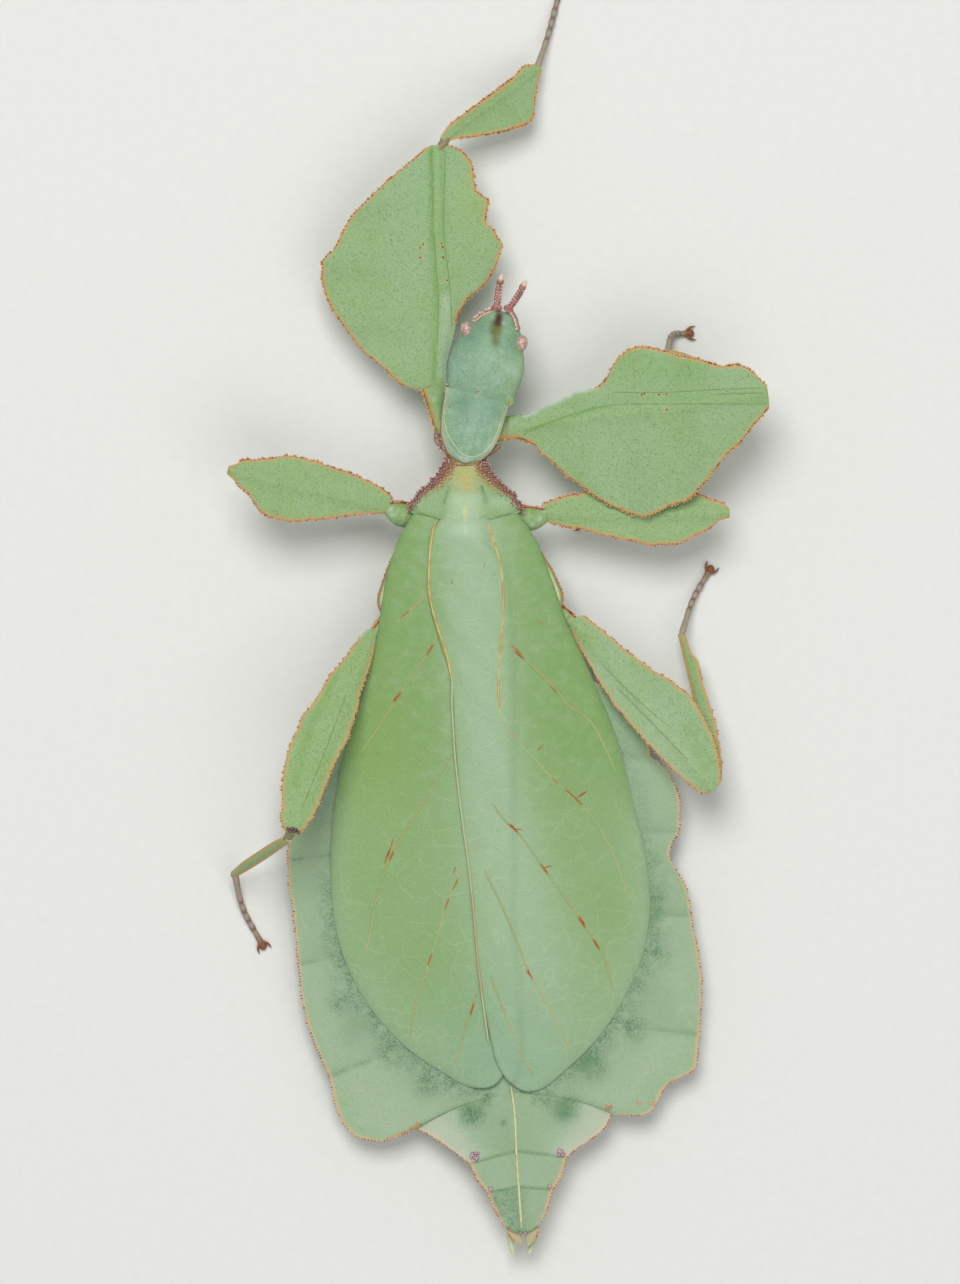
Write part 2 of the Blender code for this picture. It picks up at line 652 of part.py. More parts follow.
def build_wing(name, outer, inner, lies_over):
    """One leathery fore wing with its main veins raised in its own surface."""
    upper, lower = [], []
    for run, on_vein in wing_rows():
        start = through(inner, profile(FAN_INNER, run))
        end = through(outer, profile(FAN_OUTER, run))
        main = profile(MAIN_VEIN_PLACES, run)
        columns = [(0.0, 0), (main * 0.5, 0), (main - MAIN_VEIN_HALF, 0), (main, 1),
                   (main + MAIN_VEIN_HALF, 0)]
        columns += [(main + MAIN_VEIN_HALF + (1 - main - MAIN_VEIN_HALF) * q, 0) for q in (0.3, 0.62, 1.0)]
        top, bottom = [], []
        for column, on_main in columns:
            x, y = start + (end - start) * column
            height = back_height(x, y) + TEGMEN_GAP
            if lies_over:
                height += wing_lift(x, y)
            raised = 0.0
            if on_vein and main <= column < 0.97:
                raised = VEIN_RIDGE
            if on_main and run < MAIN_VEIN_END:
                raised = VEIN_RIDGE
            if run < 0.02 or run > 0.99:
                raised = 0.0
            bottom.append((x, y, height))
            top.append((x, y, height + PLATE + raised))
        upper.append(top)
        lower.append(bottom)
    add_plate(name, upper, lower, "waxy_green", WAXY_GREEN)


# Leaf-like limbs. Left and right are as seen from root to tip: (share of the length, reach)
THIGHS = {
    "fore_left": {
        "root": (-6.7, 25.6, 6.9), "tip": (-7.0, 53.6, 7.8), "rows": 34,
        "left": [(0, 1.2), (0.02, 3.4), (0.06, 5.1), (0.15, 7.9), (0.27, 10.8), (0.42, 13.0), (0.53, 13.4),
                 (0.56, 12.6), (0.63, 11.2), (0.71, 10.0), (0.83, 6.6), (0.92, 3.5), (1, 0.7)],
        "right": [(0, 0.8), (0.1, 0.85), (0.2, 1.4), (0.3, 2.1), (0.36, 2.9), (0.42, 4.7), (0.5, 6.4),
                  (0.6, 7.4), (0.62, 6.9), (0.69, 5.5), (0.78, 5.9), (0.8, 4.9), (0.84, 4.2),
                  (0.94, 3.7), (0.985, 2.2), (1, 1.2)],
    },
    "fore_right": {
        "root": (1.6, 21.3, 7.6), "tip": (30.5, 25.1, 12.6), "rows": 34,
        "left": [(0, 1.2), (0.07, 1.4), (0.2, 2.5), (0.34, 3.3), (0.38, 4.3), (0.44, 6.4), (0.49, 7.1),
                 (0.54, 7.2), (0.65, 6.1), (0.74, 5.1), (0.82, 4.0), (0.91, 3.6), (0.95, 2.6), (1, 0.9)],
        "right": [(0, 1.1), (0.05, 1.7), (0.09, 3.1), (0.17, 6.1), (0.26, 8.6), (0.36, 10.7), (0.46, 11.9),
                  (0.52, 11.7), (0.62, 10.9), (0.67, 9.9), (0.77, 7.2), (0.87, 4.8), (0.96, 2.5),
                  (1, 1.2)],
    },
    "mid_left": {
        "root": (-12.3, 12.2, 7.7), "tip": (-30.6, 16.5, 12.2), "rows": 22,
        "left": [(0, 0.5), (0.15, 1.4), (0.3, 2.4), (0.45, 3.4), (0.62, 4.2), (0.72, 3.9), (0.8, 3.0),
                 (0.9, 1.7), (1, 0.5)],
        "right": [(0, 1.2), (0.08, 2.0), (0.3, 2.9), (0.5, 3.3), (0.66, 3.2), (0.78, 2.5), (0.9, 1.7),
                  (1, 0.5)],
    },
    "mid_right": {
        "root": (5.0, 11.5, 7.4), "tip": (26.3, 11.7, 8.6), "rows": 22,
        "left": [(0, 1.0), (0.08, 1.8), (0.2, 2.3), (0.5, 2.9), (0.74, 2.6), (0.86, 2.0), (0.96, 1.3),
                 (1, 0.5)],
        "right": [(0, 0.6), (0.1, 1.3), (0.3, 2.3), (0.45, 3.0), (0.6, 3.6), (0.7, 3.5), (0.82, 2.5),
                  (0.93, 1.2), (1, 0.5)],
    },
    "hind_left": {
        "root": (-14.3, -1.9, 6.9), "tip": (-23.3, -24.6, 16.3), "rows": 24,
        "left": [(0, 0.35), (0.1, 0.8), (0.3, 1.2), (0.5, 1.8), (0.8, 1.6), (0.92, 1.4), (1, 0.6)],
        "right": [(0, 0.7), (0.06, 1.4), (0.2, 2.3), (0.37, 3.2), (0.5, 3.9), (0.6, 4.0), (0.75, 3.5),
                  (0.86, 2.7), (0.94, 2.0), (1, 0.8)],
    },
    "hind_right": {
        "root": (8.7, -0.8, 6.8), "tip": (24.5, -19.7, 9.8), "rows": 24,
        "left": [(0, 0.9), (0.05, 1.5), (0.2, 2.3), (0.36, 3.1), (0.5, 4.2), (0.62, 4.8), (0.74, 4.2),
                 (0.85, 3.4), (0.94, 2.2), (1, 0.9)],
        "right": [(0, 0.5), (0.08, 0.9), (0.25, 1.75), (0.4, 2.35), (0.5, 2.45), (0.74, 2.3), (0.9, 1.9), (1, 0.9)],
    },
}
SHINS = {
    "fore_left": {
        "root": (-6.4, 54.15, 7.9), "tip": (4.7, 62.8, 2.5), "rows": 14,
        "left": [(0, 0.45), (0.14, 0.95), (0.7, 0.85), (0.9, 1.25), (1, 0.6)],
        "right": [(0, 0.45), (0.2, 1.6), (0.35, 2.7), (0.52, 3.8), (0.64, 4.3), (0.71, 4.1), (0.79, 2.9),
                  (0.91, 1.2), (1, 0.45)],
    },
    "fore_right": {
        "root": (30.3, 25.2, 11.2), "tip": (19.0, 30.2, 2.9), "rows": 12,
        "left": [(0, 0.45), (0.2, 1.6), (0.35, 2.6), (0.6, 4.0), (0.71, 3.9), (0.8, 2.6), (0.9, 1.1),
                 (1, 0.45)],
        "right": [(0, 0.45), (0.14, 0.8), (0.8, 0.8), (1, 0.45)],
    },
    "mid_left": {
        "root": (-30.2, 16.4, 10.7), "tip": (-22.7, 14.2, 2.7), "rows": 8,
        "left": [(0, 0.45), (0.4, 0.75), (1, 0.45)],
        "right": [(0, 0.45), (0.5, 0.9), (1, 0.45)],
    },
    "mid_right": {
        "root": (26.0, 11.6, 7.2), "tip": (16.2, 11.0, 2.6), "rows": 8,
        "left": [(0, 0.45), (0.5, 0.9), (1, 0.45)],
        "right": [(0, 0.45), (0.4, 0.75), (1, 0.45)],
    },
    "hind_left": {
        "root": (-23.7, -25.2, 15.4), "tip": (-30.4, -29.7, 2.6), "rows": 10,
        "left": [(0, 0.45), (0.5, 0.55), (1, 0.42)],
        "right": [(0, 0.45), (0.3, 0.7), (0.7, 0.7), (1, 0.42)],
    },
    "hind_right": {
        "root": (24.9, -19.0, 8.3), "tip": (20.95, -2.0, 3.0), "rows": 10,
        "left": [(0, 0.5), (0.5, 0.45), (1, 0.42)],
        "right": [(0, 0.5), (0.2, 1.2), (0.5, 1.4), (0.78, 1.2), (0.88, 0.6), (1, 0.42)],
    },
}
HIPS = {
    "fore_left": [(-6.55, 20.6, 7.4), (-6.9, 22.8, 7.1), (-6.8, 25.2, 6.9)],
    "fore_right": [(-1.15, 20.6, 7.6), (0.2, 20.9, 7.6), (1.2, 21.25, 7.6)],
    "mid_left": [(-8.0, 12.3, 7.0), (-10.4, 11.9, 7.4), (-11.9, 12.15, 7.65)],
    "mid_right": [(0.35, 12.3, 7.0), (2.9, 11.6, 7.3), (4.6, 11.5, 7.4)],
    "hind_left": [(-9.5, 1.6, 6.0), (-12.0, 0.2, 6.2), (-13.95, -1.5, 6.75)],
    "hind_right": [(3.4, 1.6, 6.0), (6.2, 0.8, 6.2), (8.3, -0.4, 6.6)],
}
HIP_RADIUS = {"fore": 0.95, "mid": 1.05, "hind": 0.85}
FEET = {
    "fore_left": [(4.95, 63.1, 2.3), (5.9, 67.3, 0.9), (7.0, 71.6, 0.4)],
    "fore_right": [(19.0, 30.75, 2.6), (19.9, 32.2, 1.0), (21.3, 32.6, 0.4)],
    "mid_left": [(-22.35, 14.1, 2.35), (-19.6, 13.5, 0.9), (-16.4, 13.0, 0.4)],
    "mid_right": [(15.8, 10.95, 2.3), (13.0, 10.7, 0.9), (9.6, 10.6, 0.4)],
    "hind_left": [(-30.35, -30.1, 2.2), (-29.3, -33.6, 0.9), (-27.2, -37.6, 0.4)],
    "hind_right": [(21.0, -1.55, 2.7), (22.5, 2.2, 0.9), (24.2, 5.1, 0.4)],
}
THIGH_RIB = (0.85, 0.62)
SHIN_RIB = (0.5, 0.5)


def build_lobed_limb(name, limb, rib, cup):
    """A thigh or shin: a stiff rib between two thin, toothed, leaf-like lobes."""
    root, tip = np.array(limb["root"]), np.array(limb["tip"])
    along = tip - root
    side = np.array((-along[1], along[0], 0.0))
    side /= np.linalg.norm(side)
    normal = np.cross(along / np.linalg.norm(along), side)
    if normal[2] < 0:
        normal = -normal
    rows = limb["rows"]
    rib_half, rib_height = rib
    upper, lower = [], []
    for i in range(rows + 1):
        share = i / rows
        left, right = profile(limb["left"], share), profile(limb["right"], share)
        tooth = TOOTH / 2 if i % 2 else -TOOTH / 2
        left += tooth if left > 1.0 else 0.0
        right += tooth if right > 1.0 else 0.0
        rib_left, rib_right = min(rib_half, left * 0.7), min(rib_half, right * 0.7)
        columns = ((left, PLATE / 2), ((left + rib_left) / 2, PLATE / 2), (rib_left, PLATE / 2),
                   (0.0, rib_height), (-rib_right, PLATE / 2), (-(right + rib_right) / 2, PLATE / 2),
                   (-right, PLATE / 2))
        top, bottom = [], []
        for out, half in columns:
            bend = -cup * (out / 12.0) ** 2
            place = root + along * share + side * out + normal * bend
            top.append(place + normal * half)
            bottom.append(place - normal * half)
        upper.append(top)
        lower.append(bottom)
    add_plate(name, upper, lower, "limb_green", LIMB_GREEN)


FOOT_RADII = [(0, 0.36), (0.04, 0.42), (0.36, 0.34), (0.41, 0.27), (0.5, 0.38), (0.54, 0.27),
              (0.62, 0.38), (0.66, 0.27), (0.73, 0.38), (0.77, 0.27), (0.95, 0.36), (1, 0.34)]
CLAW_LENGTH = 1.05
PAD_RADIUS = 0.5


def build_foot(name, path):
    """A five-piece tarsus with two claws round a sticky pad, flat where it stands."""
    body = add_limb(name, path, FOOT_RADII, FOOT_RADII, 6, 14, "foot_brown", FOOT_BROWN)
    path = np.array(path, float)
    ahead = path[-1] - path[-2]
    ahead[2] = 0.0
    ahead /= np.linalg.norm(ahead)
    side = np.array((-ahead[1], ahead[0], 0.0))
    end = path[-1]
    pieces = [ball("pad", end + ahead * 0.3, PAD_RADIUS, "foot_brown", FOOT_BROWN, (1, 1, 0.8))]
    for hand in (-1, 1):
        start = end - ahead * 0.2 + side * hand * 0.12
        bend = end + ahead * CLAW_LENGTH * 0.45 + side * hand * 0.75 + (0, 0, 0.1)
        point = end + ahead * CLAW_LENGTH + side * hand * 0.85 + (0, 0, -0.12)
        pieces.append(add_limb("claw", [start, bend, point], [(0, 0.24), (1, 0.1)],
                               [(0, 0.24), (1, 0.1)], 4, 4, "foot_brown", FOOT_BROWN))
    join_pieces(body, pieces)
    cut_away(body, floor_block(end))


def floor_block(place):
    """A block under the floor that flattens a foot where it stands."""
    half, deep = 12.0, 3.0
    low = np.array((place[0] - half, place[1] - half, -deep))
    high = np.array((place[0] + half, place[1] + half, 0.0))
    corners = [(x, y, z) for x in (low[0], high[0]) for y in (low[1], high[1]) for z in (low[2], high[2])]
    points = [np.array(c) for c in corners]
    faces = [(0, 1, 3), (0, 3, 2), (4, 6, 7), (4, 7, 5), (0, 4, 5), (0, 5, 1),
             (2, 3, 7), (2, 7, 6), (0, 2, 6), (0, 6, 4), (1, 5, 7), (1, 7, 3)]
    return add_object("floor_block", points, facing_out(points, faces), "foot_brown", FOOT_BROWN)


def build_legs():
    """Six legs, each of hip, thigh, shin and foot."""
    for leg, thigh in THIGHS.items():
        radius = HIP_RADIUS[leg.split("_")[0]]
        add_limb(f"hip_{leg}", HIPS[leg], [(0, radius), (0.6, radius), (1, radius * 0.85)],
                 [(0, radius), (1, radius * 0.8)], 8, 5, "limb_green", LIMB_GREEN)
        build_lobed_limb(f"thigh_{leg}", thigh, THIGH_RIB, 0.5)
        build_lobed_limb(f"shin_{leg}", SHINS[leg], SHIN_RIB, 0.0)
        build_foot(f"foot_{leg}", FEET[leg])


def main():
    clear_scene()
    build_abdomen()
    build_tail()
    build_tail_tips()
    build_metathorax()
    build_mesothorax()
    build_prothorax()
    build_head()
    build_mouthparts()
    build_antennae()
    build_wing("wing_left", LEFT_OUTER, LEFT_INNER, False)
    build_wing("wing_right", RIGHT_OUTER, RIGHT_INNER, True)
    build_legs()


main()
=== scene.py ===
# %% [markdown]
# # A leaf insect at its real size
#
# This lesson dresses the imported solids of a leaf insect. The solids are the frame: they say where
# each part is. Every piece made here stands for one or more of them and stays where they are.
# All work is in millimetres, +Z is up and +Y points to the head.

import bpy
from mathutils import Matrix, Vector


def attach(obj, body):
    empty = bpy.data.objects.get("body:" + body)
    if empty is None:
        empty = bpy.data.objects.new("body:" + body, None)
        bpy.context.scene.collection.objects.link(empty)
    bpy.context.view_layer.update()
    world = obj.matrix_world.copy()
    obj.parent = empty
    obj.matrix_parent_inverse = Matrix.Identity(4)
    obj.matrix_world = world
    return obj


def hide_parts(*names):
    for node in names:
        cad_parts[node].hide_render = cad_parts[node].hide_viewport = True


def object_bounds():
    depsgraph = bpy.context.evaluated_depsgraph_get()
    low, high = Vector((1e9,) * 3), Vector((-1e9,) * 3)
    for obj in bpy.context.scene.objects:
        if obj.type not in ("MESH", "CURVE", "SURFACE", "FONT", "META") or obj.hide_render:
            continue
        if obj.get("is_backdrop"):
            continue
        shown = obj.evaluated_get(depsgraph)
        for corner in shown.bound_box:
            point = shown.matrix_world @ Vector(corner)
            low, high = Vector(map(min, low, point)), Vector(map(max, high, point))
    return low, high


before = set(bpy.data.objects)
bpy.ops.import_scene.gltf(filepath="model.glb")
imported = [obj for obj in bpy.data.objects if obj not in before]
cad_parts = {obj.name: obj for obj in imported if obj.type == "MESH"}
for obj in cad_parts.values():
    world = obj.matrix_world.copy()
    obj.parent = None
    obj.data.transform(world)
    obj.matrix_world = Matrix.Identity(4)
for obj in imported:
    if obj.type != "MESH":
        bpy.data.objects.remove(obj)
cad_box = [list(corner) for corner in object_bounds()]
print("the solids reach from", cad_box[0], "to", cad_box[1])

# %% Tools and units
import math
import random

import bpy
import numpy as np

MM = 0.001
draw = random.Random(11)
grain_draw = np.random.default_rng(11)
bpy.ops.object.select_all(action="DESELECT")

# %% [markdown]
# ## Camera, floor and light
#
# The insect is seen from straight above, from about nine tenths of a metre away. A long lens keeps
# the legs at the edge of the picture as flat as the back in the middle of it. The floor is plain
# and pale. One soft light stands high above the head, and a wider, weaker one fills in.

# %% Camera
SENSOR, DISTANCE, FIELD = 36, 893, 146.4
camera_data = bpy.data.cameras.new("camera")
camera = bpy.data.objects.new("camera", camera_data)
bpy.context.scene.collection.objects.link(camera)
camera.location = (-2.1 * MM, -3.0 * MM, 900 * MM)
camera_data.sensor_width = SENSOR
camera_data.lens = SENSOR * DISTANCE / FIELD
camera_data.clip_start = 0.01
bpy.context.scene.camera = camera
bpy.context.scene.view_settings.view_transform = "Standard"
print("lens", round(camera_data.lens, 1), "mm")


# %% Colours and values in a material
def paint(colour):
    """A display colour, from 0 to 255, as the light values that a shader works with."""
    return tuple(((v / 255 + 0.055) / 1.055) ** 2.4 for v in colour) + (1.0,)


def feed(tree, socket, value):
    """Link a socket to a node's output, or set it to a number or a display colour."""
    if isinstance(value, bpy.types.NodeSocket):
        tree.links.new(value, socket)
    else:
        socket.default_value = paint(value) if isinstance(value, tuple) else value


def add_node(tree, kind, **inputs):
    """A new node with some of its inputs fed."""
    node = tree.nodes.new("ShaderNode" + kind)
    for label, value in inputs.items():
        feed(tree, node.inputs[label], value)
    return node


def mix_colours(tree, share, below, above):
    """Lay one colour over another by a share."""
    node = add_node(tree, "Mix")
    node.data_type = "RGBA"
    for socket, value in ((0, share), (6, below), (7, above)):
        feed(tree, node.inputs[socket], value)
    return node.outputs[2]


def sum_of(tree, kind, *values):
    """One sum on values."""
    node = add_node(tree, "Math")
    node.operation = kind
    for socket, value in zip(node.inputs, values):
        feed(tree, socket, value)
    return node.outputs[0]


def between(tree, value, low, high, start=0.0, end=1.0):
    """Rises softly from start to end while the value goes from low to high."""
    node = add_node(tree, "MapRange")
    node.interpolation_type = "SMOOTHSTEP"
    for socket, given in zip(node.inputs, (value, low, high, start, end)):
        feed(tree, socket, given)
    return node.outputs[0]


def clouds(tree, vector, scale, detail=3.0, rough=0.55):
    """Soft noise in millimetres."""
    node = add_node(tree, "TexNoise", Vector=vector, Scale=scale, Detail=detail, Roughness=rough)
    return node.outputs["Fac"]


def millimetres(tree):
    """Object coordinates in millimetres."""
    scale = add_node(tree, "VectorMath")
    scale.operation = "SCALE"
    feed(tree, scale.inputs[0], add_node(tree, "TexCoord").outputs["Object"])
    feed(tree, scale.inputs["Scale"], 1000)
    return scale.outputs[0]


def kept_number(tree, label):
    """A number kept on the points of a piece."""
    node = add_node(tree, "Attribute")
    node.attribute_name = label
    return node.outputs["Fac"]


def roughen(tree, shader, height, strength, distance):
    """Let a height break up the shine of a shader."""
    relief = add_node(tree, "Bump", Strength=strength, Distance=distance, Height=height)
    feed(tree, shader.inputs["Normal"], relief.outputs["Normal"])


def new_material(name, roughness=0.55, specular=0.4):
    """A material with its shader, whose even values are set on the shader's own sockets."""
    material = bpy.data.materials.new(name)
    material.use_nodes = True
    shader = material.node_tree.nodes["Principled BSDF"]
    shader.inputs["Roughness"].default_value = roughness
    shader.inputs["Specular IOR Level"].default_value = specular
    return material, material.node_tree, shader


# %% Floor
bpy.ops.mesh.primitive_plane_add(size=3, location=(0, 0, -0.00003))
floor = bpy.context.object
floor.name = "floor"
floor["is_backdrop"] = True
floor_paint, tree, shader = new_material("pale_paper", 0.8, 0.2)
paper = clouds(tree, millimetres(tree), 0.9, 2, 0.5)
feed(tree, shader.inputs["Base Color"], mix_colours(tree, paper, (226, 226, 222), (232, 232, 228)))
floor.data.materials.append(floor_paint)
print("floor of pale paper")


# %% Lights
def soft_light(name, place, size, power):
    """A square area light that looks at the insect's middle."""
    data = bpy.data.lights.new(name, "AREA")
    data.size = size
    data.energy = power
    light = bpy.data.objects.new(name, data)
    bpy.context.scene.collection.objects.link(light)
    light.location = place
    aim = -light.location.normalized()
    light.rotation_euler = aim.to_track_quat("-Z", "Y").to_euler()


soft_light("key_light", (-0.10, 0.36, 0.90), 0.45, 5.85)
soft_light("fill_light", (0.3, -0.45, 0.9), 0.8, 3.2)
world = bpy.data.worlds.new("soft_room")
world.use_nodes = True
world.node_tree.nodes["Background"].inputs["Color"].default_value = (1, 1, 1, 1)
world.node_tree.nodes["Background"].inputs["Strength"].default_value = 0.28
bpy.context.scene.world = world

# %% [markdown]
# ## Smooth lines
#
# A leaf insect has no straight edge. A few measured places describe an outline, and these helpers
# run a smooth curve through them. The first never swings past a measured value, so a narrow waist
# stays narrow. They work on many places at once, because a wing has thousands of points.


# %% Curves through measured places
def profile(stations, at):
    """Smooth values between named stations (place, value), never past them."""
    places, values = np.array(stations, float).T
    steps = np.diff(places)
    rises = np.diff(values) / steps
    slopes = np.zeros(len(values))
    for i in range(1, len(values) - 1):
        if rises[i - 1] * rises[i] > 0:
            slopes[i] = 2.0 / (1.0 / rises[i - 1] + 1.0 / rises[i])
    slopes[0], slopes[-1] = rises[0], rises[-1]
    at = np.clip(np.asarray(at, float), places[0], places[-1])
    i = np.clip(np.searchsorted(places, at, side="right") - 1, 0, len(steps) - 1)
    u = (at - places[i]) / steps[i]
    start = values[i] * (1 + 2 * u) * (1 - u) ** 2 + slopes[i] * steps[i] * u * (1 - u) ** 2
    end = values[i + 1] * (3 - 2 * u) * u * u - slopes[i + 1] * steps[i] * u * u * (1 - u)
    return start + end


def through(points, share):
    """Places at shares of the length of a smooth line through the points."""
    points = np.array(points, float)
    lengths = np.linalg.norm(np.diff(points, axis=0), axis=1)
    knots = np.concatenate([[0.0], np.cumsum(lengths)]) / lengths.sum()
    slopes = np.gradient(points, knots, axis=0)
    share = np.clip(np.atleast_1d(np.asarray(share, float)), 0, 1)
    i = np.clip(np.searchsorted(knots, share, side="right") - 1, 0, len(lengths) - 1)
    step = (knots[i + 1] - knots[i])[:, None]
    u = (share - knots[i])[:, None] / step
    start = points[i] * (1 + 2 * u) * (1 - u) ** 2 + slopes[i] * step * u * (1 - u) ** 2
    end = points[i + 1] * (3 - 2 * u) * u * u - slopes[i + 1] * step * u * u * (1 - u)
    return start + end


def ease(x):
    """Runs smoothly from 0 to 1 while x does."""
    x = np.clip(x, 0, 1)
    return x * x * (3 - 2 * x)


def fade(gap, wide, power=2):
    """1 where there is no gap, and next to nothing past twice the width."""
    return np.exp(-np.abs(gap / wide) ** power)


def blot(x, y, at_x, at_y, wide, tall=None):
    """A soft oval spot around a place."""
    return fade(x - at_x, wide) * fade(y - at_y, tall or wide)


def blots(x, y, spots):
    """Some soft spots together, each (strength, x, y, width) and perhaps a height."""
    return sum(strength * blot(x, y, *spot) for strength, *spot in spots)


def even_steps(line, step):
    """Places along a smooth line, one every step."""
    length = np.linalg.norm(np.diff(through(line, np.linspace(0, 1, 200)), axis=0), axis=1).sum()
    return through(line, np.linspace(0, 1, max(int(length / step), 2) + 1))


def reach_to(spots, marks):
    """Distance from each spot to the nearest of the marks, seen from above."""
    spots, marks = np.asarray(spots)[:, :2], np.asarray(marks)[:, :2]
    nearest = np.empty(len(spots))
    for start in range(0, len(spots), 4000):
        part = spots[start:start + 4000, None, :] - marks[None, :, :]
        nearest[start:start + 4000] = np.sqrt((part ** 2).sum(axis=2).min(axis=1))
    return nearest


# %% [markdown]
# ## Three ways to make a piece
#
# A lobe or a wing is a **slab**: a flat grid, extruded once into a closed sheet, whose points are
# then moved onto an upper and a lower surface. A leg, a head or a feeler is a **column**: a disc
# pulled up ring by ring and laid along a path. Teeth and grains are a small model, shaped once and
# set down many times. All three start from a primitive and are closed all round.


# %% Numbers on points
def read_points(piece):
    """A piece's points as rows of three numbers."""
    spots = np.empty(len(piece.data.vertices) * 3)
    piece.data.vertices.foreach_get("co", spots)
    return spots.reshape(-1, 3)


def move_points(piece, places):
    """Put a piece's points at places in millimetres."""
    piece.data.vertices.foreach_set("co", (np.asarray(places) * MM).ravel())
    piece.data.update()


def note(piece, label, values):
    """Keep one number on each point, for a material to read."""
    values = np.broadcast_to(np.asarray(values, float), (len(piece.data.vertices),))
    layer = piece.data.attributes.new(label, "FLOAT", "POINT")
    layer.data.foreach_set("value", np.ascontiguousarray(values, dtype=np.float32))


def read_note(piece, label):
    """The number kept on each point."""
    values = np.empty(len(piece.data.vertices))
    piece.data.attributes[label].data.foreach_get("value", values)
    return values


def coat(piece, finish, **notes):
    """Give a piece a finish by its name, and the numbers that the finish reads."""
    for label, values in notes.items():
        note(piece, label, values)
    piece.data.materials.append(bpy.data.materials[finish])
    return piece


# %% Slab and column
def primitive(add, name, **sizes):
    """A fresh primitive with its name, the only thing selected."""
    bpy.ops.object.select_all(action="DESELECT")
    add(**sizes)
    piece = bpy.context.object
    piece.name = piece.data.name = name
    return piece


def pull_up(steps):
    """Pull all of a flat shape up step by step, each (height, width), and narrow or widen it."""
    bpy.ops.object.mode_set(mode="EDIT")
    bpy.ops.mesh.select_all(action="SELECT")
    low, wide = 0.0, 1.0
    for height, width in steps:
        bpy.ops.mesh.extrude_region_move(TRANSFORM_OT_translate={"value": (0, 0, height - low)})
        if width != wide:
            bpy.ops.transform.resize(value=(width / wide, width / wide, 1))
        low, wide = height, width
    bpy.ops.object.mode_set(mode="OBJECT")


def clean_skin(piece):
    """Close the points that met, turn all faces outwards and shade them smooth."""
    bpy.ops.object.select_all(action="DESELECT")
    piece.select_set(True)
    bpy.context.view_layer.objects.active = piece
    bpy.ops.object.mode_set(mode="EDIT")
    bpy.ops.mesh.select_all(action="SELECT")
    bpy.ops.mesh.remove_doubles(threshold=0.000004)
    bpy.ops.mesh.dissolve_degenerate(threshold=0.000002)
    bpy.ops.mesh.select_all(action="SELECT")
    bpy.ops.mesh.normals_make_consistent(inside=False)
    bpy.ops.object.mode_set(mode="OBJECT")
    bpy.ops.object.shade_smooth_by_angle(angle=math.radians(50))


def slab(name, upper, lower, **notes):
    """A closed sheet between two surfaces, each given as rows of columns of places."""
    rows, columns = upper.shape[:2]
    piece = primitive(bpy.ops.mesh.primitive_grid_add, name, x_subdivisions=columns - 1,
                      y_subdivisions=rows - 1, size=1)
    pull_up([(1.0, 1.0)])
    spots = read_points(piece)
    column = np.rint((spots[:, 0] + 0.5) * (columns - 1)).astype(int)
    row = np.rint((spots[:, 1] + 0.5) * (rows - 1)).astype(int)
    above = spots[:, 2] > 0.5
    move_points(piece, np.where(above[:, None], upper[row, column], lower[row, column]))
    for label, values in notes.items():
        note(piece, label, np.broadcast_to(values, (rows, columns))[row, column])
    clean_skin(piece)
    return piece


def column(name, path, widths, heights, sides=16, rings=16, flat_at=None):
    """A closed limb of oval section along a path. Its points keep how far along it they are."""
    piece = primitive(bpy.ops.mesh.primitive_circle_add, name, vertices=sides, radius=1, fill_type="NGON")
    pull_up([(height, 1.0) for height in range(1, rings)])
    spots = read_points(piece)
    ring = np.rint(spots[:, 2]).astype(int)
    turn = np.arctan2(spots[:, 1], spots[:, 0])
    share = np.linspace(0, 1, rings)
    centre = through(path, share)
    ahead = through(path, share + 0.02) - through(path, share - 0.02)
    ahead /= np.linalg.norm(ahead, axis=1)[:, None]
    level = np.cross(ahead, (0, 0, 1.0))
    level /= np.maximum(np.linalg.norm(level, axis=1), 1e-6)[:, None]
    across = np.cross(level, ahead)
    wide = profile(widths, share)[ring] * np.cos(turn)
    tall = profile(heights, share)[ring] * np.sin(turn)
    places = centre[ring] + level[ring] * wide[:, None] + across[ring] * tall[:, None]
    if flat_at is not None:
        places[:, 2] = np.maximum(places[:, 2], flat_at)
    move_points(piece, places)
    note(piece, "along", share[ring])
    rounding = piece.modifiers.new("rounding", "SUBSURF")
    rounding.levels = rounding.render_levels = 1
    bpy.ops.object.modifier_apply(modifier=rounding.name)
    clean_skin(piece)
    return piece


# %% Scattered copies, joining and settling
def small_model(name, steps):
    """A thorn or a grain of few faces, one unit long: a disc pulled up in steps and narrowed."""
    model = primitive(bpy.ops.mesh.primitive_circle_add, name, vertices=6, radius=1, fill_type="NGON")
    pull_up(steps)
    spots = read_points(model)
    faces = [list(face.vertices) for face in model.data.polygons]
    bpy.data.objects.remove(model)
    print(name, "has", len(faces), "faces")
    return spots, faces


def scatter(name, model, places, finish):
    """Set a small model down at each place: (root, lean, length, half width)."""
    spots, faces = model
    points, polygons = [], []
    for number, (root, lean, length, half) in enumerate(places):
        lean = np.array(lean, float) / np.linalg.norm(lean)
        side = np.cross(lean, (0.13, 0.21, 1.0))
        side /= np.linalg.norm(side)
        rise = np.cross(lean, side)
        points.append(np.array(root) + np.outer(spots[:, 0] * half, side)
                      + np.outer(spots[:, 1] * half, rise) + np.outer(spots[:, 2] * length, lean))
        polygons += [[number * len(spots) + corner for corner in face] for face in faces]
    mesh = bpy.data.meshes.new(name)
    mesh.from_pydata(np.concatenate(points) * MM, [], polygons)
    piece = bpy.data.objects.new(name, mesh)
    bpy.context.scene.collection.objects.link(piece)
    mesh.shade_smooth()
    return coat(piece, finish, tip=np.tile(spots[:, 2], len(places)))


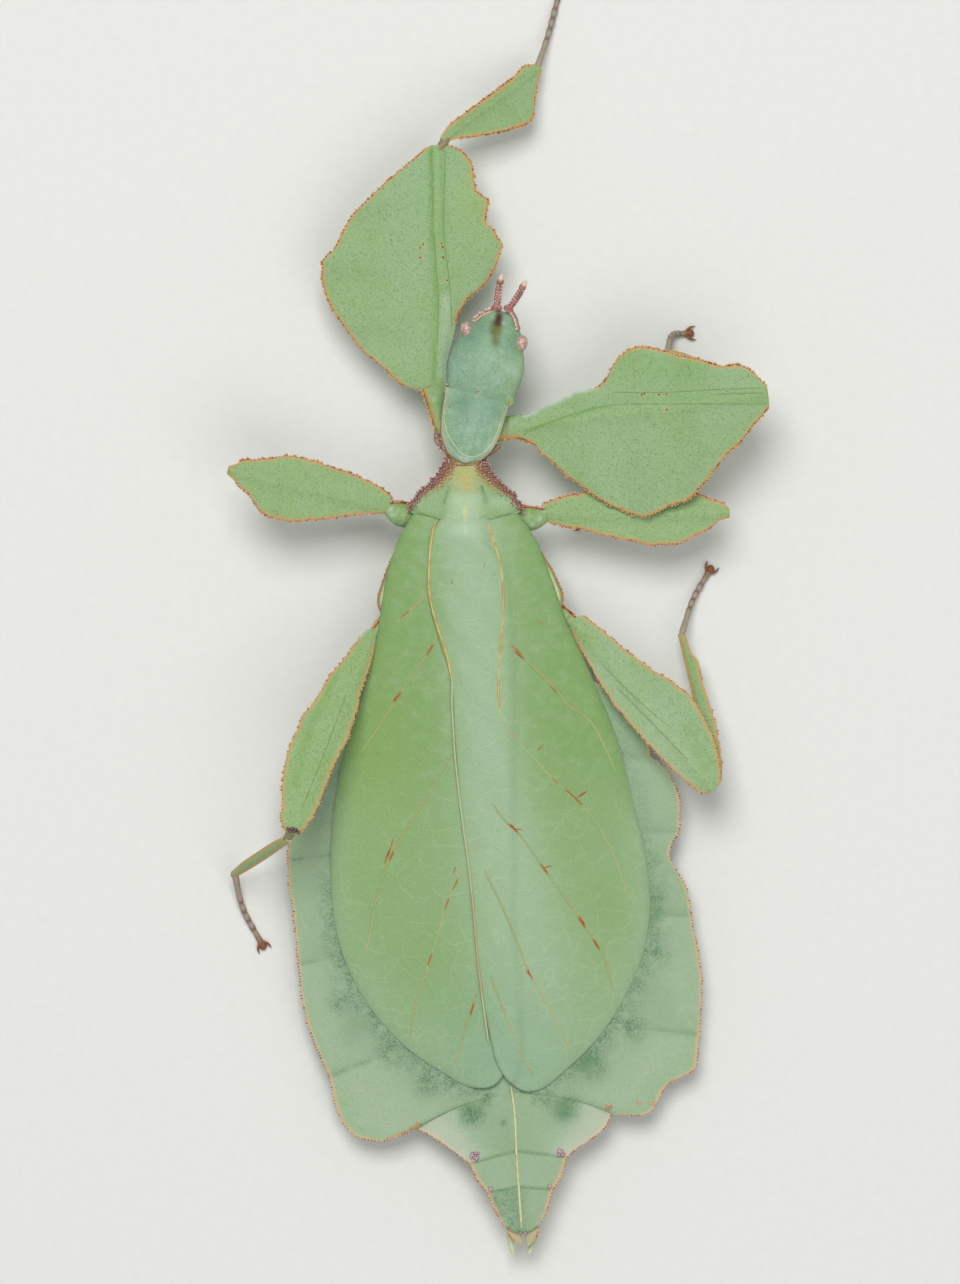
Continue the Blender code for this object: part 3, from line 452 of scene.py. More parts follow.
def join(body, parts):
    """Join finished parts to a body. Each keeps its own material."""
    bpy.ops.object.select_all(action="DESELECT")
    for part in (*parts, body):
        part.select_set(True)
    bpy.context.view_layer.objects.active = body
    bpy.ops.object.join()
    return body


def settle(piece, slot, *nodes):
    """Let a finished piece ride on the body and stand for its solids."""
    piece.name = piece.data.name = nodes[0] + "_skin"
    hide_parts(*nodes)
    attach(piece, "root")
    print(piece.name, len(piece.data.polygons), "faces")


THORN = small_model("thorn", ((0.35, 0.78), (0.7, 0.42), (1.0, 0.08)))
GRAIN = small_model("grain", ((0.4, 0.95), (0.8, 0.6), (1.0, 0.2)))

# %% [markdown]
# ## Finishes
#
# The skin of the insect imitates a leaf: a pale, waxy green, cloudy with whitish bloom, with a
# fine net of veins, dark stipple, and a thin rim that looks nibbled and browned. All of that is
# one pattern, so it is built once as a node group and placed in each material with its own
# values. Numbers kept on the points say where a rim, a vein or a shadowed patch is.


# %% The leaf pattern, built once
LEAF_INPUTS = {
    "Ground": (150, 186, 134), "Second": (138, 178, 112), "Bloom Colour": (178, 205, 170), "Bloom Share": 0.5,
    "Net Colour": (176, 206, 166), "Net Share": 0.3, "Fleck Colour": (88, 138, 92), "Fleck Share": 0.3,
    "Band": 0.0, "Band Colour": (164, 196, 158), "Mark": 0.0, "Mark Colour": (78, 138, 88), "Mark Grit": 0.0,
    "Warm": 0.0, "Warm Colour": (176, 98, 44)}
LEAF_OUTPUTS = {"Colour": "NodeSocketColor", "Roughness": "NodeSocketFloat", "Height": "NodeSocketFloat"}
tree = leaf_group = bpy.data.node_groups.new("leaf_pattern", "ShaderNodeTree")
for label, value in LEAF_INPUTS.items():
    kind = "NodeSocketColor" if isinstance(value, tuple) else "NodeSocketFloat"
    feed(tree, tree.interface.new_socket(name=label, in_out="INPUT", socket_type=kind), value)
for label, kind in LEAF_OUTPUTS.items():
    tree.interface.new_socket(name=label, in_out="OUTPUT", socket_type=kind)
given, gives = tree.nodes.new("NodeGroupInput").outputs, tree.nodes.new("NodeGroupOutput").inputs


def lay(tone, mask, name):
    """Lay one of the pattern's colours over the tone, by a mask and its share."""
    share = sum_of(leaf_group, "MULTIPLY", mask, given[name + " Share"])
    return mix_colours(leaf_group, share, tone, given[name + " Colour"])


place = millimetres(tree)
drift = clouds(tree, place, 0.11, 2)
cloudy = clouds(tree, place, 0.75, 5, 0.6)
fine = clouds(tree, place, 5.0, 3)
tone = mix_colours(tree, between(tree, drift, 0.35, 0.65), given["Ground"], given["Second"])
tone = mix_colours(tree, given["Band"], tone, given["Band Colour"])
tone = lay(tone, between(tree, cloudy, 0.42, 0.68), "Bloom")
tone = lay(tone, between(tree, fine, 0.52, 0.66), "Bloom")
tone = lay(tone, between(tree, fine, 0.46, 0.34), "Fleck")
print("leaf pattern:", len(tree.nodes), "nodes for the clouds")

# %% [markdown]
# The net of fine veins is where the cells of a Voronoi pattern meet. Noise bends the cells so
# that they look grown. A second Voronoi pattern gives the stipple: a dark dot in some cells only.

# %% Net, stipple and marks
bend = add_node(tree, "VectorMath")
bend.operation = "MULTIPLY_ADD"
feed(tree, bend.inputs[0], cloudy.node.outputs["Color"])
bend.inputs[1].default_value = (1.1, 1.1, 1.1)
feed(tree, bend.inputs[2], place)
nets = []
for cell_scale, line in ((0.36, 0.05), (0.95, 0.06)):
    cells = add_node(tree, "TexVoronoi", Vector=bend.outputs[0], Scale=cell_scale)
    cells.feature = "DISTANCE_TO_EDGE"
    nets.append(between(tree, cells.outputs["Distance"], line, 0.0))
net = sum_of(tree, "MAXIMUM", nets[0], sum_of(tree, "MULTIPLY", nets[1], 0.6))
dots = add_node(tree, "TexVoronoi", Vector=place, Scale=2.3)
chosen = add_node(tree, "SeparateColor", Color=dots.outputs["Color"])
stipple = sum_of(tree, "MULTIPLY", between(tree, dots.outputs["Distance"], 0.34, 0.12),
                 between(tree, chosen.outputs[0], 0.35, 0.8))
tone = lay(lay(tone, net, "Net"), stipple, "Fleck")
gritty = between(tree, fine, 0.42, 0.55, sum_of(tree, "SUBTRACT", 1.0, given["Mark Grit"]), 1.0)
broken = sum_of(tree, "MULTIPLY", between(tree, cloudy, 0.3, 0.6, 0.35, 1.0), gritty)
tone = mix_colours(tree, sum_of(tree, "MULTIPLY", given["Mark"], broken), tone, given["Mark Colour"])
nibbled = sum_of(tree, "MULTIPLY", given["Warm"], between(tree, fine, 0.3, 0.55, 0.55, 1.0))
feed(tree, gives["Colour"], mix_colours(tree, nibbled, tone, given["Warm Colour"]))
feed(tree, gives["Roughness"], between(tree, cloudy, 0.3, 0.7, 0.46, 0.62))
height = sum_of(tree, "MULTIPLY_ADD", net, 0.5, fine)
feed(tree, gives["Height"], sum_of(tree, "MULTIPLY_ADD", stipple, -0.5, height))
print("leaf pattern:", len(tree.nodes), "nodes in all")

# %% [markdown]
# Five green skins use the pattern. Each has its own colours, and some lay further tints over it
# where a number kept on the points asks for them.

# %% Skins made with the pattern
# The pale tint is the insect's whitish bloom, and on the head, shield, middle thorax and hips it also lays
# painted glints and highlights.
SKINS = {
    "wing_skin": (0.35, dict(
        Ground=(141, 171, 122), Second=(136, 168, 108), Bloom=(154, 182, 142), Bloom_Share=0.45,
        Net=(170, 198, 152), Net_Share=0.34, Fleck=(112, 148, 92), Fleck_Share=0.15,
        Band=(160, 186, 154), Mark=(127, 163, 96)),
        dict(pale=(182, 208, 178), cool=(110, 155, 145), spring=(142, 176, 80))),
    "lobe_skin": (0.35, dict(
        Ground=(153, 178, 142), Second=(149, 175, 134), Bloom=(166, 187, 158), Bloom_Share=0.5,
        Net=(166, 186, 158), Net_Share=0.15, Fleck=(116, 152, 108), Fleck_Share=0.25,
        Warm=(214, 178, 134), Band=(162, 184, 154), Mark=(64, 114, 74), Mark_Grit=0.65),
        dict(deep=(82, 126, 80), cream=(200, 204, 184))),
    "limb_skin": (0.55, dict(
        Ground=(146, 177, 128), Second=(140, 171, 112), Bloom=(156, 184, 140), Bloom_Share=0.4,
        Net_Share=0.1, Fleck=(106, 144, 90), Fleck_Share=0.6, Warm=(208, 160, 98),
        Mark=(112, 160, 74), Band=(148, 178, 106)), dict(pale=(200, 216, 202), joint=(128, 74, 52))),
    "waxy_skin": (0.6, dict(
        Ground=(130, 167, 140), Second=(136, 171, 134), Bloom=(164, 193, 168), Bloom_Share=0.55,
        Net_Share=0.0, Fleck=(108, 150, 116), Fleck_Share=0.3, Mark=(104, 92, 30),
        Band=(148, 178, 118), Warm=(194, 162, 134)),
        dict(olive=(104, 100, 26), stain=(78, 30, 20), deep=(94, 138, 110), pale=(184, 206, 190))),
    "thorax_skin": (0.5, dict(
        Ground=(146, 176, 122), Second=(142, 172, 118), Bloom=(160, 188, 146), Bloom_Share=0.4,
        Net_Share=0.0, Fleck=(108, 146, 92), Fleck_Share=0.25, Mark=(84, 122, 72),
        Band=(196, 179, 108), Warm=(146, 94, 74)), dict(pale=(184, 208, 176), keel=(206, 212, 150))),
}
for name, (bump, values, tints) in SKINS.items():
    _, tree, shader = new_material(name)
    pattern = tree.nodes.new("ShaderNodeGroup")
    pattern.node_tree = leaf_group
    for label, value in values.items():
        colour = isinstance(value, tuple) and label not in ("Ground", "Second")
        feed(tree, pattern.inputs[label + " Colour" if colour else label.replace("_", " ")], value)
    for label in ("Band", "Mark", "Warm"):
        feed(tree, pattern.inputs[label], kept_number(tree, label.lower()))
    roughen(tree, shader, pattern.outputs["Height"], bump, 0.00012)
    feed(tree, shader.inputs["Roughness"], pattern.outputs["Roughness"])
    tone = pattern.outputs["Colour"]
    for label, colour in tints.items():
        tone = mix_colours(tree, kept_number(tree, label), tone, colour)
    feed(tree, shader.inputs["Base Color"], tone)
print(len(SKINS), "green skins")


# %% [markdown]
# Rims, thorns and main veins share a second finish. It is browned at the root and pale at the
# point, as dry leaf teeth are. The colour also changes from thorn to thorn with soft noise.

# %% Warm finishes
DRY_TONES = {
    "rim_pink": ((140, 88, 78), (170, 114, 70), (210, 172, 150), 1.3),
    "rim_beads": ((130, 60, 32), (212, 144, 80), (230, 192, 138), 2.5),
    "rim_rose": ((146, 84, 72), (206, 136, 104), (232, 200, 176), 1.7),
    "rim_dark": ((122, 50, 38), (192, 132, 88), (214, 164, 124), 0.55),
    "grain_purple": ((132, 82, 86), (158, 104, 88), (216, 188, 180), 0.8),
    "grain_gold": ((162, 98, 70), (204, 156, 92), (222, 196, 146), 1.8),
    "grain_violet": ((118, 72, 92), (164, 110, 118), (208, 180, 186), 1.8),
    "brow_grain": ((150, 106, 96), (178, 134, 116), (228, 208, 194), 1.4),
    "knee_dark": ((70, 44, 56), (98, 66, 74), (128, 100, 96), 1.6),
    "vein_gold": ((218, 192, 124), (206, 164, 94), (190, 104, 52), 0.9),
    "vein_pale": ((164, 182, 126), (186, 172, 116), (184, 96, 44), 0.35),
    "ridge_cream": ((178, 196, 158), (194, 184, 136), (196, 110, 50), 0.9),
    "line_cream": ((222, 216, 164), (206, 202, 150), (150, 88, 52), 1.2),
    "line_pale": ((200, 212, 160), (192, 204, 160), (204, 206, 180), 1.0),
    "line_olive": ((126, 158, 94), (136, 164, 104), (120, 80, 40), 0.8),
    "mark_brown": ((92, 54, 34), (124, 72, 40), (108, 62, 36), 1.3),
    "rust_finish": ((164, 76, 34), (196, 124, 62), (186, 74, 26), 1.5),
    "feeler_skin": ((138, 88, 80), (180, 132, 118), (222, 198, 172), 1.6),
    "feeler_grit": ((172, 118, 106), (216, 196, 186), (236, 224, 214), 1.8),
}
for name, (root, other, point, spot) in DRY_TONES.items():
    _, tree, shader = new_material(name, 0.5, 0.45)
    place = millimetres(tree)
    tone = mix_colours(tree, between(tree, clouds(tree, place, spot), 0.38, 0.62), root, other)
    tone = mix_colours(tree, between(tree, kept_number(tree, "tip"), 0.45, 1.0), tone, point)
    feed(tree, shader.inputs["Base Color"], tone)
    roughen(tree, shader, clouds(tree, place, 7.0, 2), 0.4, 0.00008)
print(len(DRY_TONES), "warm finishes")

# %% [markdown]
# ## The back
#
# Thorax and abdomen share one domed back, high on the midline and low at the lobes, and the
# wings lie over it. The same curves give the solids their height, so every piece made here meets
# them. The midline leans a little to the right towards the tail.

# %% Height of the back
RIDGE_HEIGHTS = [(-70.5, 5.6), (-65, 5.2), (-61, 5.0), (-54.5, 4.9), (-45, 5.7), (-30, 6.7),
                 (-16, 7.7), (0, 8.9), (12, 9.7)]
LOBE_HEIGHTS = [(-70.5, 5.0), (-65, 4.5), (-61, 4.2), (-54.5, 3.9), (-45, 3.8), (-30, 4.2),
                (-16, 4.7), (-8, 5.2), (0, 6.0), (12, 7.8)]


def axis_x(y):
    """Where the midline runs."""
    return -3.1 - 0.083 * y


def back_height(x, y):
    """Height of the body's upper side."""
    ridge, lobe = profile(RIDGE_HEIGHTS, y), profile(LOBE_HEIGHTS, y)
    share = np.minimum(np.abs(x - axis_x(y)) / 20.0, 1.0)
    return lobe + (ridge - lobe) * (1 - share * share) ** 1.5


print("the back is", round(float(back_height(-3.1, 0.0)), 1), "mm high behind the thorax")

# %% [markdown]
# ### Rims and raised lines
#
# A rim tooth stands on the edge and points away from the leaf. It leans a little at random, as
# no two are alike. Raised veins and seams are thin round cords, half sunk into the skin.


# %% Teeth on an edge, cords on a skin
def edge_teeth(edge, outward, pitch, long, half, lift=0.0):
    """Tooth places along an edge. Outward is 1 for the left of the way it runs, -1 for the right."""
    edge = np.asarray(edge, float)
    lengths = np.concatenate([[0.0], np.cumsum(np.linalg.norm(np.diff(edge, axis=0), axis=1))])

    def spot_at(at):
        return np.array([np.interp(at, lengths, edge[:, k]) for k in range(3)])

    places, at = [], pitch * 0.5
    while at < lengths[-1]:
        ahead = spot_at(at + 0.3) - spot_at(at - 0.3)
        ahead /= max(np.linalg.norm(ahead), 1e-6)
        lean = np.array((-ahead[1], ahead[0], 0.0)) * outward + ahead * draw.uniform(-0.5, 0.5)
        lean[2] += lift + draw.uniform(-0.15, 0.15)
        size = draw.uniform(0.55, 1.25)
        places.append((spot_at(at) - lean * 0.1, lean, long * size, half * (0.75 + 0.25 * size)))
        at += pitch * draw.uniform(0.7, 1.3)
    return places


def cords(name, lines, radius, finish, tip=0.0):
    """Thin closed cords through lines of places, as one mesh. A curve gives them their round."""
    piece = primitive(bpy.ops.curve.primitive_nurbs_path_add, name)
    curve = piece.data
    curve.splines.clear()
    curve.bevel_depth = radius * MM
    curve.bevel_resolution = 1
    curve.use_fill_caps = True
    for line in lines:
        spline = curve.splines.new("POLY")
        spline.points.add(len(line) - 1)
        for i, (point, spot) in enumerate(zip(spline.points, line)):
            point.co = (*(np.array(spot) * MM), 1)
            point.radius = min(0.35 + 0.65 * min(i, len(line) - 1 - i) / 3, 1.0)
    bpy.ops.object.convert(target="MESH")
    piece = bpy.context.object
    piece.location = (0, 0, 0)
    bpy.ops.object.shade_smooth()
    return coat(piece, finish, tip=tip(read_points(piece) / MM) if callable(tip) else tip)


# %% [markdown]
# ## Abdomen
#
# The abdomen of the female is a thin leaf on each side of an egg-filled core. Each segment has
# its own lobe, so the outline steps at every seam. The rows of the sheet follow the segments,
# from the seam in front to the seam behind, and sit closer together near the edges, where the
# rim is only a few tenths of a millimetre wide.

# %% Outline of the segments
SEGMENT_CORNERS = [
    ((-11.6, -0.3), (-3.1, -0.1), (5.6, 0.2)),
    ((-16.0, -8.4), (-2.5, -7.9), (10.9, -7.5)),
    ((-22.2, -18.5), (-1.8, -16.1), (17.4, -16.1)),
    ((-24.1, -28.0), (-1.2, -25.0), (20.7, -24.7)),
    ((-22.9, -39.9), (-0.3, -35.6), (22.1, -34.2)),
    ((-19.3, -52.7), (0.5, -44.9), (23.0, -48.0)),
    ((-9.5, -58.8), (1.5, -54.8), (13.3, -57.1)),
]
LEFT_SWELL = [(0.3, 0.4, 0.3), (0.3, 0.4, 0.4), (0.5, 0.6, 0.4), (0.2, 0.0, 0.0),
              (0.6, 0.8, 0.6), (2.9, 4.2, 3.3)]
RIGHT_SWELL = [(0.2, 0.3, 0.2), (1.0, 1.7, 1.3), (1.35, 1.5, 1.0), (-1.5, -0.7, 0.0),
               (0.4, 0.7, 0.5), (2.4, 1.6, 2.6)]
TAIL_CORNERS = [
    ((-9.3, -58.75), (1.5, -53.9), (12.95, -57.0)),
    ((-3.3, -62.65), (2.1, -61.25), (7.8, -61.95)),
    ((-1.3, -65.95), (2.3, -65.25), (6.2, -65.65)),
    ((0.74, -69.7), (2.75, -70.45), (4.85, -69.4)),
]
TAIL_LEFT_SWELL = [(-0.25, -0.25, -0.15), (0.1, 0.2, 0.1), (0.1, 0.15, 0.15)]
TAIL_RIGHT_SWELL = [(0.6, 0.45, 0.1), (0.2, 0.3, 0.2), (0.1, 0.15, 0.15)]


def lobe_edge(corners, swells, side, segment, share):
    """Places on one side's edge of a segment, out by its swell."""
    start = np.array(corners[segment][side], float)
    end = np.array(corners[segment + 1][side], float)
    run = (end - start) / np.linalg.norm(end - start)
    outward = np.array((run[1], -run[0])) * (1 if side == 0 else -1)
    swell = profile(list(zip((0, 0.25, 0.5, 0.75, 1), (0.0, *swells[segment], 0.0))), share)
    return start + (end - start) * share[:, None] + outward * swell[:, None]


def segment_rows(corners, left_swell, right_swell, step):
    """Left edge, midline and right edge of each row, its share of the way to the next seam, and
    the number of its segment."""
    lefts, middles, rights, shares, numbers = [], [], [], [], []
    for segment in range(len(corners) - 1):
        last = segment == len(corners) - 2
        length = np.linalg.norm(np.array(corners[segment][0]) - np.array(corners[segment + 1][0]))
        share = np.linspace(0, 1, int(length / step) + 1)[: None if last else -1]
        middle = np.array(corners[segment][1]) * (1 - share[:, None])
        middles.append(middle + np.array(corners[segment + 1][1]) * share[:, None])
        lefts.append(lobe_edge(corners, left_swell, 0, segment, share))
        rights.append(lobe_edge(corners, right_swell, 2, segment, share))
        shares.append(share)
        numbers.append(np.full(len(share), segment))
    return [np.concatenate(part) for part in (lefts, middles, rights, shares, numbers)]


def edge_columns(count, half_width):
    """Shares from -1 to 1 across a sheet, closer together near both edges."""
    fine = 1 - np.array((0.0, 0.05, 0.11, 0.19, 0.3, 0.45, 0.7)) / half_width
    inner = np.linspace(-fine[-1], fine[-1], count)
    return np.concatenate([-fine[:-1], inner, fine[:-1][::-1]])


def placed(x, y, z):
    """Places from their three numbers."""
    return np.stack([x, y, z], -1)


def across_rows(lefts, middles, rights, shares, arch=0.0):
    """Places and their reach from the middle, 0, to the edge, 1. A row may arch to the head."""
    part = np.abs(shares)[None, :, None]
    edge = np.where((shares < 0)[None, :, None], lefts[:, None, :], rights[:, None, :])
    flat = middles[:, None, :] + (edge - middles[:, None, :]) * part
    flat[..., 1] += (4 * part * (1 - part))[..., 0] * np.broadcast_to(arch, (len(lefts),))[:, None]
    return flat[..., 0], flat[..., 1], np.broadcast_to(part[..., 0], flat.shape[:2])


def upright_grain(x, y, sink, long, half):
    """A grain that stands straight up from the back."""
    return (x, y, float(back_height(x, y)) - sink), (0, 0, 1), long, half


# %% [markdown]
# The outlines of the wings are needed already here, because the abdomen is darker just beside
# them. Both wings lie like two halves of a leaf, the right one over the left one.

# %% Outline of the wings
LEFT_OUTER = [(-9.7, 11.6), (-11.2, 9.0), (-12.4, 6.0), (-13.3, 1.4), (-13.85, -2.3), (-14.35, -4.8),
              (-15.7, -9.6), (-17.8, -16.4), (-19.0, -23.3), (-19.2, -30.1), (-18.4, -36.9),
              (-16.7, -41.5), (-13.7, -46.1), (-9.9, -49.9), (-6.1, -52.4), (-4.2, -53.5),
              (-3.1, -53.9), (-2.3, -54.0)]
LEFT_INNER = [(-6.4, 11.4), (-6.2, 9.9), (-5.2, 9.1), (-3.2, 8.3), (-1.2, 5.6), (-0.3, 0.0), (-0.1, -8.0),
              (-0.1, -32.4), (0.6, -43.8), (0.8, -49.5), (0.3, -52.9), (-0.2, -53.45), (-0.9, -53.85),
              (-1.6, -53.98), (-2.3, -54.0)]
RIGHT_OUTER = [(2.3, 11.6), (4.2, 8.7), (6.1, 4.1), (7.7, -0.5), (9.8, -5.0), (11.8, -9.6),
               (13.6, -14.1), (15.4, -21.0), (16.9, -27.8), (17.3, -34.7), (16.4, -39.2),
               (14.8, -43.0), (11.2, -48.5), (7.5, -52.1), (5.2, -53.95), (4.4, -54.3), (3.6, -54.4)]
RIGHT_INNER = [(-2.0, 11.5), (-4.2, 11.4), (-6.3, 11.1), (-7.2, 10.2), (-7.8, 7.9), (-8.05, 4.1),
               (-7.75, 0.7), (-6.8, -2.7), (-5.7, -6.2), (-5.0, -14.1), (-4.4, -21.0), (-3.2, -30.1),
               (-2.1, -41.5), (-0.8, -48.9), (-0.3, -50.9), (0.5, -52.4), (1.4, -53.4), (2.3, -54.05),
               (2.9, -54.33), (3.6, -54.4)]
FAN_INNER = [(0, 0), (0.2, 0.09), (0.4, 0.22), (0.6, 0.42), (0.8, 0.7), (1, 1)]
FAN_OUTER = [(0, 0), (0.2, 0.28), (0.4, 0.56), (0.6, 0.77), (0.8, 0.91), (1, 1)]
wing_edges = np.concatenate([even_steps(LEFT_OUTER, 0.3), even_steps(RIGHT_OUTER, 0.3)])
print("wing edges measured at", len(wing_edges), "places")

# %% Abdomen sheet
CORE_DEPTHS = [(-60, 1.8), (-54.5, 2.5), (-50, 3.9), (-45, 5.2), (-38, 6.2), (-30, 6.8), (-20, 7.4),
               (-12, 6.8), (-6, 5.2), (0, 3.6)]
CORE_REACHES = [(-60, 7.0), (-50, 10.5), (-35, 13.0), (-15, 11.5), (-5, 8.5), (0, 7.0)]
DARK_PATCHES = [(-8.0, -53.2, 2.0), (10.7, -51.3, 2.0), (9.9, -51.2, 1.3), (18.0, -32.3, 1.3),
                (-3.0, -56.9, 1.6), (7.9, -56.2, 1.7), (-1.5, -55.0, 1.2), (5.0, -55.3, 1.2),
                (0.7, -58.0, 0.5), (-12.0, -49.5, 2.2), (15.0, -47.0, 2.0), (-17.6, -40.0, 1.8),
                (-18.0, -44.0, 1.6), (17.9, -38.5, 1.8)]
DEEP_SPOTS = [(0.62, 10.0, -51.2, 1.342), (0.4, 17.9, -33.0, 0.9, 2.2), (0.22, -16.9, -47.5, 2.0, 2.5),
              (0.16, 19.0, -44.9, 2.0, 2.5)]


def lobe_relief(share, reach):
    """How far the skin sinks towards the seams: softly over the lobe, sharply in the seam."""
    near = np.minimum(share, 1 - share)
    return -0.22 * fade(near, 0.10) * reach - 0.12 * fade(near, 0.022)


def patches(x, y):
    """The strongest of the dark patches at each place."""
    return np.max([blot(x, y, *patch) for patch in DARK_PATCHES], axis=0)


lefts, middles, rights, share, number = segment_rows(SEGMENT_CORNERS, LEFT_SWELL, RIGHT_SWELL, 0.3)
x, y, reach = across_rows(lefts, middles, rights, edge_columns(112, 18.0), 0.8 * share * (number == 5))
every_second = np.arange(0, len(lefts), 2)
wander = np.interp(np.arange(len(lefts)), every_second, grain_draw.uniform(-0.09, 0.09, len(every_second)))
x[:, 0] -= wander
x[:, -1] += wander
edge_gap = (1 - reach) * np.linalg.norm(rights - lefts, axis=1)[:, None] / 2
seam_gap = np.minimum(share, 1 - share)[:, None]
top = back_height(x, y) + lobe_relief(share[:, None], reach)
core = np.clip(1 - (np.abs(x - axis_x(y)) / profile(CORE_REACHES, y)) ** 2, 0, 1) ** 1.2
thick = 0.12 + 0.3 * (1 - fade(edge_gap, 0.22, 1))
bottom = top - thick - profile(CORE_DEPTHS, y) * core
bottom = np.maximum(bottom - 0.1 * fade(seam_gap, 0.05), 0.0)
beside_wing = reach_to(np.stack([x, y], -1).reshape(-1, 2), wing_edges).reshape(x.shape)
deepening = profile([(-60, 1.0), (-48, 0.95), (-40, 0.9), (-30, 0.8), (-20, 0.5), (0, 0.5)], y)
dark = np.maximum(fade(beside_wing, 2.3, 1.4) * deepening, patches(x, y)) * 0.9
# Under the hind-left thigh the dark band is weakened where the thigh's shadow falls: painted light that lifts
# the shaded spot.
dark *= 1 - 0.8 * blot(x, y, -20.3, -26.7, 1.6, 2.5)
abdomen = slab("abdomen", placed(x, y, top), placed(x, y, bottom),
               mark=np.maximum(dark, fade(seam_gap, 0.022) * 0.55 * (reach > 0.05)),
               warm=fade(edge_gap, 0.26), band=ease((edge_gap - 0.3) / 3.0) * 0.5,
               deep=blots(x, y, DEEP_SPOTS))
coat(abdomen, "lobe_skin")
rim = placed(x, y, top - 0.08)
beads = edge_teeth(rim[:, 0], -1, 0.36, 0.22, 0.12) + edge_teeth(rim[:, -1], 1, 0.36, 0.22, 0.12)
for _ in range(46):
    back_rows = draw.uniform(0, 7)
    spot_x, spot_y = [float(np.interp(back_rows, np.arange(10), line[:-11:-1, 0])) for line in (x, y)]
    spot_x += draw.uniform(-0.1, 0.1)
    spot_y += draw.uniform(0.05, 0.7 - 0.07 * back_rows)
    beads.append(upright_grain(spot_x, spot_y, 0.16, 0.22, 0.13))
for corner_x, corner_y, inward in ((-9.5, -58.5, 1), (12.9, -56.6, -1), (16.4, -56.2, -1), (17.8, -56.2, -1)):
    for _ in range(14):
        spot_x = corner_x + inward * draw.uniform(-0.1, 0.7)
        beads.append(upright_grain(spot_x, corner_y + draw.uniform(0.1, 0.7), 0.16, 0.22, 0.12))
join(abdomen, [scatter("abdomen_beads", GRAIN, beads, "rim_dark")])
settle(abdomen, "lobe_green", "abdomen")

# %% [markdown]
# ## Tail
#
# The last three segments narrow to a rounded tip with a small notch. A raised cream line runs
# along the middle and crosses the seams. Behind it stand two short flat cerci, and the pointed
# valves that lay the eggs lie under them.

# %% Tail sheet with its seams
lefts, middles, rights, share, number = segment_rows(TAIL_CORNERS, TAIL_LEFT_SWELL, TAIL_RIGHT_SWELL, 0.2)
shares = edge_columns(48, 6.0)
x, y, reach = across_rows(lefts, middles, rights, shares,
                          0.8 * (1 - share) * (number == 0) - 0.3 * share * (number == 2))
edge_gap = (1 - reach) * np.linalg.norm(rights - lefts, axis=1)[:, None] / 2
along_seam = np.minimum(share, 1 - share)[:, None] * 5
tucked = fade(np.arange(len(lefts)) * 0.2, 1.1)[:, None]
top = back_height(x, y) - 0.16 * fade(along_seam, 0.16) + 0.2 * np.exp(-(reach * 6) ** 2)
top = top - 0.3 * tucked
thickness = profile([(-70.5, 1.0), (-61, 1.7), (-54.5, 2.3)], y)
bottom = top - 0.14 - (thickness - 0.2) * (1 - reach * reach) ** 1.4 * (1 - fade(edge_gap, 0.5, 1))
# The last segment is darker all over, and darker on its left side than on its right; that side difference is
# painted shade.
last = (number == 2)[:, None] * (0.36 - 0.24 * np.clip(2.5 * shares, -1, 1))
tail_marks = np.maximum(fade(along_seam, 0.2) * 0.6, patches(x, y))
tail = slab("tail", placed(x, y, top), placed(x, y, bottom),
            mark=np.maximum(tail_marks, 0.12 + last + 0.14 * fade(x - 0.5, 2.5) * (y > -61.0)),
            deep=blots(x, y, [(0.72, 7.5, -56.3, 1.414), (0.4, -3.0, -56.6, 1.414)]),
            cream=0.44 * (number == 0)[:, None] * ease((reach - 0.58) / 0.32),
            warm=fade(edge_gap, 0.34), band=np.where(y > -62.0, ease((reach - 0.35) / 0.35), 0.1))
coat(tail, "lobe_skin")
rim = placed(x, y, top - 0.08)
beads = edge_teeth(rim[:, 0], -1, 0.34, 0.26, 0.14) + edge_teeth(rim[:, -1], 1, 0.34, 0.26, 0.14)
beads += edge_teeth(rim[-1], -1, 0.3, 0.2, 0.12)
corners = []
for corner_x, corner_y, inward, size, count in ((-3.1, -62.2, 1, 0.85, 34), (7.5, -61.7, -1, 0.7, 28),
                                                (-1.1, -65.7, 1, 0.35, 10), (6.0, -65.4, -1, 0.35, 10)):
    for _ in range(count):
        spot_x = corner_x + inward * size * draw.uniform(-0.1, 1)
        spot_y = corner_y + size * draw.uniform(0, 1)
        corners.append(upright_grain(spot_x, spot_y, 0.1, draw.uniform(0.26, 0.4), draw.uniform(0.12, 0.19)))
corners += [((spot_x, spot_y, 5.5), (0, -0.4, 1), 0.3, 0.17)
            for spot_x, spot_y in ((2.5, -70.4), (2.8, -70.55), (3.1, -70.4))]
corner_grains = scatter("corner_grains", GRAIN, corners, "grain_violet")
tail_beads = scatter("tail_beads", GRAIN, beads, "rim_rose")
MIDLINE = even_steps([(1.4, -53.6), (1.8, -56.3), (2.0, -59.7), (2.1, -62.0), (2.3, -64.9),
                      (2.65, -70.0)], 0.4)
SEAM_SPOTS = [(1.95, -61.5), (2.1, -62.1), (2.2, -64.5), (2.35, -65.4), (2.7, -70.0)]
midline = cords("tail_midline", [placed(*MIDLINE.T, back_height(*MIDLINE.T) + 0.2)], 0.145, "line_cream",
                lambda spots: fade(reach_to(spots, SEAM_SPOTS), 0.22) * 0.9)
join(tail, [tail_beads, corner_grains, midline])
settle(tail, "lobe_green", "tail")

